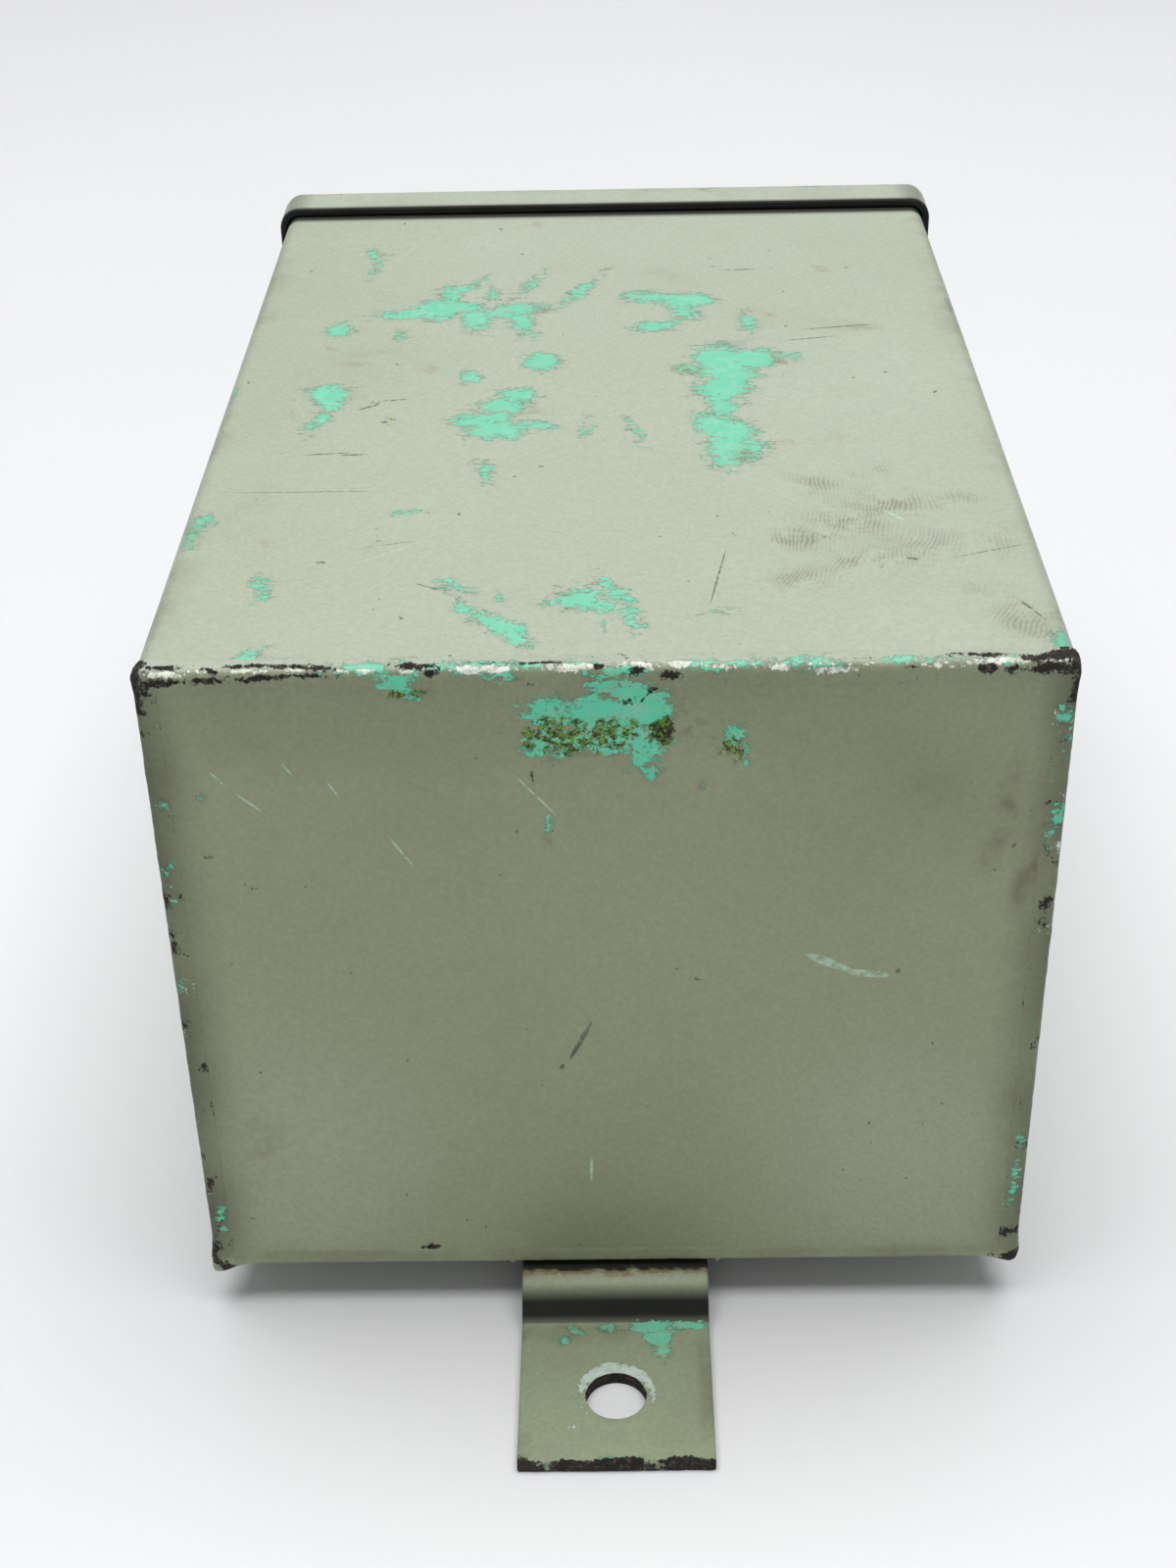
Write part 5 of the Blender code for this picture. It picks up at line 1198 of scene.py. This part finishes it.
def make_nut(name, node, material, slot, bore):
    """Hexagon nut with its corners turned off at both ends."""
    low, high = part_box(node)
    thickness = high.y - low.y
    corner = (high.x - low.x) / 2
    flat = corner * math.cos(math.pi / 6)
    sides = 72
    stand = Matrix.Translation(Vector(((low.x + high.x) / 2, low.y, (low.z + high.z) / 2))) @ towards(AWAY)
    rings = []
    for height, limit in ((0, flat * 0.97), (0.35 * MM, flat * 1.03), (0.8 * MM, 9.0),
                          (thickness - 0.8 * MM, 9.0), (thickness - 0.35 * MM, flat * 1.03),
                          (thickness, flat * 0.97)):
        ring = []
        for side in range(sides):
            angle = 2 * math.pi * side / sides
            to_flat = (angle + math.pi / 6) % (math.pi / 3) - math.pi / 6
            radius = min(flat / math.cos(to_flat), limit)
            shifted = angle + math.pi / 6
            ring.append(stand @ Vector((radius * math.cos(shifted), radius * math.sin(shifted), height)))
        rings.append(ring)
    for height, radius in ((thickness, bore + 0.4 * MM), (thickness - 0.4 * MM, bore), (0.4 * MM, bore),
                           (0, bore + 0.4 * MM)):
        rings.append([stand @ Vector((radius * math.cos(2 * math.pi * (i / sides) + math.pi / 6),
                                      radius * math.sin(2 * math.pi * (i / sides) + math.pi / 6), height))
                      for i in range(sides)])
    nut = to_object(name, loft(rings, closed=True))
    return show(nut, material, "box", slot, node)


def make_stud(name, node, material, slot, collar_length, collar_radius, shank, pitch):
    """Collar stud: plain collar at its foot and a thread above."""
    low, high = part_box(node)
    length = high.y - low.y
    sides = 36
    rings = []
    for radius, height in ((collar_radius - 0.3 * MM, 0), (collar_radius, 0.3 * MM),
                           (collar_radius, collar_length - 0.3 * MM),
                           (collar_radius - 0.3 * MM, collar_length), (shank, collar_length)):
        rings.append(level_ring(radius, height, sides))
    rings += threaded_rings(shank, 0.30 * pitch, pitch, collar_length + 0.2 * MM, length - 0.6 * MM, sides)
    rings.append(level_ring(shank - 0.6 * MM, length, sides))
    base = Vector(((low.x + high.x) / 2, low.y, (low.z + high.z) / 2))
    stand = Matrix.Translation(base) @ towards(AWAY)
    stud = to_object(name, loft([[stand @ p for p in ring] for ring in rings]))
    return show(stud, material, "box", slot, node)


def make_cover_fastening(zinc, paint):
    for index, name in enumerate(SCREW_NAMES):
        turn = math.radians((20, -35, 70, 5)[index])
        make_screw("cover_bolt_" + name, "cover_screw_" + name, "screw_" + name, zinc, "zinc", AWAY,
                   4.0 * MM, 3.0 * MM, 1.27 * MM, turn)
        make_ring("seal_washer_" + name, "cover_washer_" + name, "washer_" + name, zinc, "zinc", AWAY,
                  SHANK_HOLE)
        make_gusset("mouth_gusset_" + name, "corner_gusset_" + name, name, paint)


def make_gusset(name, node, corner_name, material):
    """Corner gusset with its edges softened and a drawn, tapped collar behind."""
    low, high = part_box(node)
    side_x = -1 if corner_name.endswith("left") else 1
    side_z = -1 if corner_name.startswith("bottom") else 1
    corner = (high.x if side_x > 0 else low.x, (high.z if side_z > 0 else low.z) - MIDDLE)
    leg, blunt, thickness = high.x - low.x, 5.0 * MM, 3.0 * MM
    steps = ((0.6 * MM, 0), (leg, 0), (leg, blunt), (blunt, leg), (0, leg), (0, 0.6 * MM))
    edge = [(corner[0] - side_x * a, corner[1] - side_z * b) for a, b in steps]
    if side_x * side_z < 0:
        edge.reverse()
    middle = Vector((0, high.y - thickness / 2, MIDDLE))
    plate = flat_plate(name, [edge], thickness, middle, STANDING, 0.25 * MM)
    screw = centre_of("cover_screw_" + corner_name)
    base = Vector((screw.x, low.y, screw.z))
    length = high.y - low.y - thickness
    collar = [(5.3 * MM, 0), (5.6 * MM, 0.3 * MM), (5.6 * MM, length - 0.6 * MM), (6.3 * MM, length),
              (6.3 * MM, length + MM), (3.6 * MM, length + MM), (3.6 * MM, 0)]
    drawn = to_object(name + "_collar", turned_mesh(collar, base, AWAY, 40, closed=True))
    base.y = high.y
    bore = turned_mesh([(3.5 * MM, -9 * MM), (3.5 * MM, 4 * MM)], base, AWAY, 40)
    plate = cut(plate, bore)
    bm = bmesh.new()
    bm.from_mesh(plate.data)
    bm.from_mesh(drawn.data)
    bm.to_mesh(plate.data)
    bm.free()
    bpy.data.objects.remove(drawn)
    p = places_mm(plate)
    coat(plate, mint=patches(p, 6.0, 61) * 1.4 - 1.6, bare=patches(p, 5.0, 62) * 1.4 - 1.6,
         grime=np.full(len(p), 0.3))
    return show(plate, material, "box", "grey_enamel", node)


# ---- cable entries ---------------------------------------------------------------------------------------

def make_entry_seal(side_name, side, zinc, neoprene, paint):
    outward = RIGHT * side
    make_ring("seal_gasket_" + side_name, "entry_gasket_" + side_name, "box", neoprene, "neoprene", outward,
              9.5 * MM)
    low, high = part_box("entry_cap_" + side_name)
    radius = (high.z - low.z) / 2
    height = high.x - low.x
    base = Vector((low.x if side > 0 else high.x, ENTRY_Y, ENTRY_Z))
    profile = [(2.4 * MM, height * 0.86), (4.8 * MM, height * 0.86), (5.6 * MM, height), (10.6 * MM, height),
               (12.6 * MM, height * 0.86), (14.6 * MM, height * 0.55), (radius - 0.1 * MM, height * 0.3),
               (radius, height * 0.12), (radius - 0.2 * MM, 0), (2.4 * MM, 0)]
    cap = to_object("seal_cap_" + side_name, turned_mesh(profile, base, outward, 72, closed=True))
    p = places_mm(cap)
    from_axis = np.hypot(p[:, 1] - ENTRY_Y / MM, p[:, 2] - ENTRY_Z / MM)
    wear = 0.4 - (radius / MM - from_axis) * 0.8 + patches(p, 5.0, 71) * 1.4 - 0.6
    wrench = 0.5 - np.abs(from_axis - 4.9) + patches(p, 2.5, 73) * 0.5
    coat(cap, mint=np.maximum(wear, wrench),
         bare=np.maximum(wear - 0.8, wrench - 0.6) + patches(p, 6.0, 72) * 0.5, grime=np.full(len(p), 0.4))
    show(cap, paint, "box", "grey_enamel", "entry_cap_" + side_name)

    node = "entry_bar_" + side_name
    low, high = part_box(node)
    bar = rounded_rectangle((high.z - low.z) / 2, (high.y - low.y) / 2, 2 * MM, UNDIVIDED, 5)
    hole = arc((0, 0), 2.4 * MM, 0, 345, 23)
    stand = Matrix(((0, 0, 1, 0), (0, -1, 0, 0), (1, 0, 0, 0), (0, 0, 0, 1)))     # local X up, local Z out
    plate = flat_plate("seal_bar_" + side_name, [bar, hole], high.x - low.x, (low + high) / 2, stand)
    show(plate, zinc, "box", "zinc", node)
    make_screw("seal_screw_" + side_name, "entry_screw_" + side_name, "box", zinc, "zinc", outward,
               2.2 * MM, 2.0 * MM, 0.79 * MM, 0.3 * side, 1.2 * MM)


# ---- panel and terminals ---------------------------------------------------------------------------------

def circle(x, y, radius, sides=28):
    return arc((x, y), radius, 0, 360 - 360 / sides, sides - 1)


def make_panel(enamelled, zinc, brass):
    half_width = (PANEL_HIGH.x - PANEL_LOW.x) / 2
    half_height = (PANEL_HIGH.z - PANEL_LOW.z) / 2
    edge = rounded_rectangle(half_width, half_height, 3 * MM, UNDIVIDED, 8)
    holes = []
    for up in ("upper", "lower"):
        for across in ("left", "right"):
            stud = centre_of(f"panel_stud_{up}_{across}")
            holes.append(circle(stud.x, stud.z - MIDDLE, 2.8 * MM))
            collar = PANEL_LOW.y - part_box(f"panel_stud_{up}_{across}")[0].y - 0.3 * MM
            make_stud(f"collar_stud_{up}_{across}", f"panel_stud_{up}_{across}", zinc, "zinc", collar,
                      4.5 * MM, 2.4 * MM, 0.8 * MM)
            make_nut(f"hex_nut_{up}_{across}", f"panel_nut_{up}_{across}", zinc, "zinc", 2.7 * MM)
    for side in ("left", "right"):
        screw = centre_of("block_screw_" + side)
        holes.append(circle(screw.x, screw.z - MIDDLE, 2.2 * MM))
    ground = centre_of("ground_stud")
    holes.append(circle(ground.x, ground.z - MIDDLE, 2.9 * MM))
    middle = Vector((0, (PANEL_LOW.y + PANEL_HIGH.y) / 2, MIDDLE))
    panel = flat_plate("inner_panel", [edge] + holes, PANEL_HIGH.y - PANEL_LOW.y, middle, STANDING, 0.3 * MM)
    show(panel, enamelled, "box", "panel_steel", "sub_panel")
    make_stud("earth_stud", "ground_stud", brass, "brass", 3.0 * MM, 4.8 * MM, 2.5 * MM, 0.8 * MM)
    make_toothed_washer("earth_washer", "ground_washer", zinc)
    make_nut("earth_nut", "ground_nut", brass, "brass", 2.8 * MM)


def make_toothed_washer(name, node, material):
    """Internal-tooth lock washer: a flat ring with short teeth."""
    low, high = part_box(node)
    teeth = 12
    outer = circle(0, 0, (high.x - low.x) / 2, 48)
    inner = []
    for i in range(teeth * 4):
        angle = 2 * math.pi * i / (teeth * 4)
        radius = 2.9 * MM if i % 4 < 2 else 3.9 * MM
        inner.append((radius * math.cos(angle), radius * math.sin(angle)))
    washer = flat_plate(name, [outer, inner], high.y - low.y, (low + high) / 2, STANDING, 0.12 * MM)
    return show(washer, material, "box", "zinc", node)


POLES = 4
BARRIER = 1.8 * MM
EAR_DEPTH = 5.0 * MM


def block_outline(pitch, floor):
    """Block seen from above: ears, base and the barriers between the poles, with eased corners."""
    half = POLES * pitch / 2 + BARRIER / 2
    reach = (BLOCK_HIGH.x - BLOCK_LOW.x) / 2
    depth = BLOCK_HIGH.y - BLOCK_LOW.y
    points = [(reach, 0)] + arc((reach - MM, EAR_DEPTH - MM), MM, 0, 90, 4) + [(half, EAR_DEPTH)]
    for i in range(POLES, -1, -1):
        x = (i - POLES / 2) * pitch
        right, left = x + BARRIER / 2, x - BARRIER / 2
        ease = 0.5 * MM
        if i < POLES:
            points += [(right + ease, floor), (right, floor + ease)]
        points += arc((x, depth - BARRIER / 2), BARRIER / 2, 0, 180, 6)
        if i > 0:
            points += [(left, floor + ease), (left - ease, floor)]
    points += [(-half, EAR_DEPTH)] + arc((MM - reach, EAR_DEPTH - MM), MM, 90, 180, 4) + [(-reach, 0)]
    return points


def make_terminal_block(phenolic, brass, zinc, fibre):
    first, last = centre_of("terminal_plate_1"), centre_of(f"terminal_plate_{POLES}")
    pitch = (last.x - first.x) / (POLES - 1)
    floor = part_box("terminal_plate_1")[0].y - 0.3 * MM - BLOCK_LOW.y
    middle = Vector((0, BLOCK_LOW.y, (BLOCK_LOW.z + BLOCK_HIGH.z) / 2))
    height = BLOCK_HIGH.z - BLOCK_LOW.z
    outline = block_outline(pitch, floor)
    block = flat_plate("barrier_block", [outline], height, middle, Matrix.Identity(4), 0.25 * MM)
    cutters = []
    for side in ("left", "right"):
        screw = centre_of("block_screw_" + side)
        screw.y = BLOCK_LOW.y
        cutters.append(turned_mesh([(2.4 * MM, -2 * MM), (2.4 * MM, 8 * MM)], screw, AWAY, 32))
    for number in range(1, POLES + 1):
        for row in ("upper", "lower"):
            screw = centre_of(f"terminal_screw_{row}_{number}")
            screw.y = BLOCK_LOW.y + floor
            cutters.append(turned_mesh([(2.1 * MM, -6 * MM), (2.1 * MM, 6 * MM)], screw, AWAY, 24))
    block = cut(block, *cutters)
    show(block, phenolic, "box", "phenolic", "terminal_block")

    for number in range(1, POLES + 1):
        node = f"terminal_plate_{number}"
        low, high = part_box(node)
        edge = rounded_rectangle((high.x - low.x) / 2, (high.z - low.z) / 2, MM, UNDIVIDED, 4)
        centre = (low + high) / 2
        holes = []
        for row, side in (("upper", 1), ("lower", -1)):
            screw = centre_of(f"terminal_screw_{row}_{number}")
            holes.append(circle(0, screw.z - centre.z, 2.1 * MM))
            turn = math.radians(37 * number + 61 * side)
            make_screw(f"wire_screw_{row}_{number}", f"terminal_screw_{row}_{number}", "box", brass, "brass",
                       AWAY, 2.4 * MM, 1.75 * MM, 0.75 * MM, turn, 1.15 * MM, 28)
        thickness = high.y - low.y
        plate = flat_plate(f"link_plate_{number}", [edge] + holes, thickness, centre, STANDING, 0.15 * MM)
        show(plate, brass, "box", "brass", node)
    for side in ("left", "right"):
        make_screw("block_fixing_" + side, "block_screw_" + side, "box", zinc, "zinc", AWAY,
                   2.4 * MM, 1.8 * MM, 0.79 * MM, 0.4, 1.15 * MM, 28)
    low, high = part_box("marker_strip")
    edge = rounded_rectangle((high.x - low.x) / 2, (high.z - low.z) / 2, 0.8 * MM, UNDIVIDED, 4)
    strip = flat_plate("fibre_strip", [edge], high.y - low.y, (low + high) / 2, STANDING, 0.12 * MM)
    show(strip, fibre, "box", "white_fibre", "marker_strip")


# ---- camera, floor and light -----------------------------------------------------------------------------

def make_camera():
    """The photographer's place: over the rear wall, looking down along the box."""
    away = 230.2 * MM
    above = 224.9 * MM
    aside = 1.8 * MM
    pitch, yaw, roll = math.radians(-32.55), math.radians(-1.0), math.radians(-1.29)
    data = bpy.data.cameras.new("camera")
    data.lens = 52.72
    data.sensor_width = 36
    data.clip_start = 0.01
    camera = bpy.data.objects.new("camera", data)
    bpy.context.scene.collection.objects.link(camera)
    forward = Vector((math.sin(yaw) * math.cos(pitch), math.cos(yaw) * math.cos(pitch), math.sin(pitch)))
    right = Vector((math.cos(yaw), -math.sin(yaw), 0))
    up = right.cross(forward)
    across = right * math.cos(roll) + up * math.sin(roll)
    upright = up * math.cos(roll) - right * math.sin(roll)
    turn = Matrix((across, upright, -forward)).transposed()
    place = Vector((aside, REAR - away, UNDERSIDE + above))
    camera.matrix_world = Matrix.Translation(place) @ turn.to_4x4()
    bpy.context.scene.camera = camera


def make_floor():
    """Plain pale floor, larger than any view needs."""
    half = 5.0
    bm = bmesh.new()
    bmesh.ops.create_grid(bm, x_segments=2, y_segments=2, size=half)
    floor = to_object("floor", bm)
    floor.location.z = CAD_BOX[0].z
    s = Shader("floor")
    tone = s.mix(s.noise(3.0, 3, 0.5), (0.71, 0.71, 0.72), (0.76, 0.76, 0.77))
    floor.data.materials.append(s.finish(tone, 0.6, specular=0.2))


def make_light(name, size, power, place, aim):
    data = bpy.data.lights.new(name, "AREA")
    data.shape = "RECTANGLE"
    data.size, data.size_y = size
    data.energy = power
    lamp = bpy.data.objects.new(name, data)
    bpy.context.scene.collection.objects.link(lamp)
    lamp.location = place
    lamp.rotation_mode = "QUATERNION"
    lamp.rotation_quaternion = (Vector(aim) - Vector(place)).to_track_quat("-Z", "Y")


def make_studio():
    make_floor()
    make_light("overhead", (1.5, 1.1), 27, (0.0, 0.0, 1.5), (0, 0, 0))
    make_light("back", (1.6, 0.7), 3.0, (0.0, 1.3, 1.0), (0, 0, 0.05))
    make_light("front", (1.6, 0.6), 3.6, (0.1, -1.6, 0.5), (0, 0, 0.05))
    world = bpy.data.worlds.new("studio")
    bpy.context.scene.world = world
    world.use_nodes = True
    background = world.node_tree.nodes["Background"]
    background.inputs["Color"].default_value = (0.94, 0.97, 1.0, 1.0)
    background.inputs["Strength"].default_value = 0.25
    bpy.context.scene.view_settings.view_transform = "Standard"


# ---- everything ------------------------------------------------------------------------------------------

def turned_on_top(angle):
    return (0, 0, math.radians(angle))


def turned_on_rear(angle):
    return (0, math.radians(-angle), 0)


def top_mark(x, away, half_length, half_width, angle):
    return ((x * MM, REAR + away * MM, TOP), half_length, half_width, turned_on_top(angle))


def rear_mark(x, up, half_length, half_width, angle):
    return ((x * MM, REAR, UNDERSIDE + up * MM), half_length, half_width, turned_on_rear(angle))


TOP_DARK = tuple(top_mark(*row) for row in (
    (-33.6, 76.0, 2.2, 0.35, 35), (-30.4, 78.2, 2.4, 0.35, 8), (38.4, 26.0, 0.9, 0.35, -20),
    (36.0, 104.0, 7.0, 0.25, 8), (31.0, 99.5, 5.0, 0.22, 10), (-38.0, 60.0, 4.0, 0.25, 4),
    (14.0, 22.0, 9.0, 0.16, 80), (22.0, 130.0, 4.0, 0.3, 0), (-40.5, 48.0, 12.0, 0.14, -1),
    (-34.3, 59.5, 2.2, 0.30, 2), (48.6, 28.0, 7.0, 0.14, 20), (50.8, 12.8, 4.0, 0.25, -65),
    (-22.0, 20.5, 1.8, 0.14, -30), (-27.6, 32.0, 4.5, 0.10, 15),
))
TOP_PALE = tuple(top_mark(*row) for row in (
    (37.4, 38.4, 2.2, 0.28, -52), (-27.0, 30.0, 7.0, 0.12, 35),
))
REAR_DARK = tuple(rear_mark(*row) for row in (
    (-3.9, 38.8, 4.2, 0.42, 64), (-6.4, 34.6, 0.6, 0.4, 60),
))
REAR_PALE = tuple(rear_mark(*row) for row in (
    (27.4, 51.0, 3.6, 0.75, -24), (32.4, 49.2, 3.2, 0.65, -8), (-42.8, 75.8, 2.4, 0.2, -42),
    (-46.4, 79.4, 1.4, 0.2, -50), (-25.0, 68.4, 3.4, 0.18, -58), (-8.6, 76.5, 4.4, 0.18, -50),
    (-2.9, 17.0, 2.4, 0.25, 88), (-37.9, 80.5, 1.2, 0.16, -55), (-32.6, 77.5, 1.6, 0.16, -60),
))

make_camera()

top_paint = enamel("enamel_body", pale_marks=TOP_PALE, dark_marks=TOP_DARK)
rear_paint = enamel("enamel_rear", pale_marks=REAR_PALE, dark_marks=REAR_DARK, ragged=0.72)
weld_paint = enamel("enamel_weld", ragged=0.85)
# The feet's paint uses the darker copy of the topcoat: painted shade.
foot_paint = enamel("enamel_foot", FOOT_SHADED_LIGHT, FOOT_SHADED_DARK, ragged=0.6, primer_dark=FOOT_PRIMER,
                    primer_light=FOOT_PRIMER_PALE)
plain_paint = enamel("enamel")
zinc_plate = plated("zinc", (0.62, 0.61, 0.57), (0.42, 0.41, 0.38), 0.36)
brass_metal = plated("brass", (0.72, 0.53, 0.24), (0.50, 0.34, 0.13), 0.32, (0.22, 0.13, 0.05))
neoprene_rubber = moulded("neoprene", (0.030, 0.030, 0.030), (0.014, 0.014, 0.014), 0.72)
phenolic_resin = moulded("phenolic", (0.055, 0.034, 0.024), (0.028, 0.017, 0.012), 0.32, 0.004, 0.5)
white_fibre = moulded("white_fibre", (0.70, 0.68, 0.60), (0.60, 0.58, 0.49), 0.70, 0.014)
panel_enamel = white_enamel("panel_enamel")

make_body(top_paint)
make_rear_plate(rear_paint)
make_rear_bead(weld_paint)
make_seam(plain_paint)
make_foot("strap_rear", "foot_rear", REAR, -1, foot_paint)
make_foot("strap_front", "foot_front", COVER_HIGH.y, 1, foot_paint)
make_foot_weld("fillet_rear", "foot_weld_rear", -1, plain_paint)
make_foot_weld("fillet_front", "foot_weld_front", 1, plain_paint)
make_cover(plain_paint)
make_gasket(neoprene_rubber)
make_cover_fastening(zinc_plate, plain_paint)
make_entry_seal("left", -1, zinc_plate, neoprene_rubber, plain_paint)
make_entry_seal("right", 1, zinc_plate, neoprene_rubber, plain_paint)
make_panel(panel_enamel, zinc_plate, brass_metal)
make_terminal_block(phenolic_resin, brass_metal, zinc_plate, white_fibre)
make_studio()
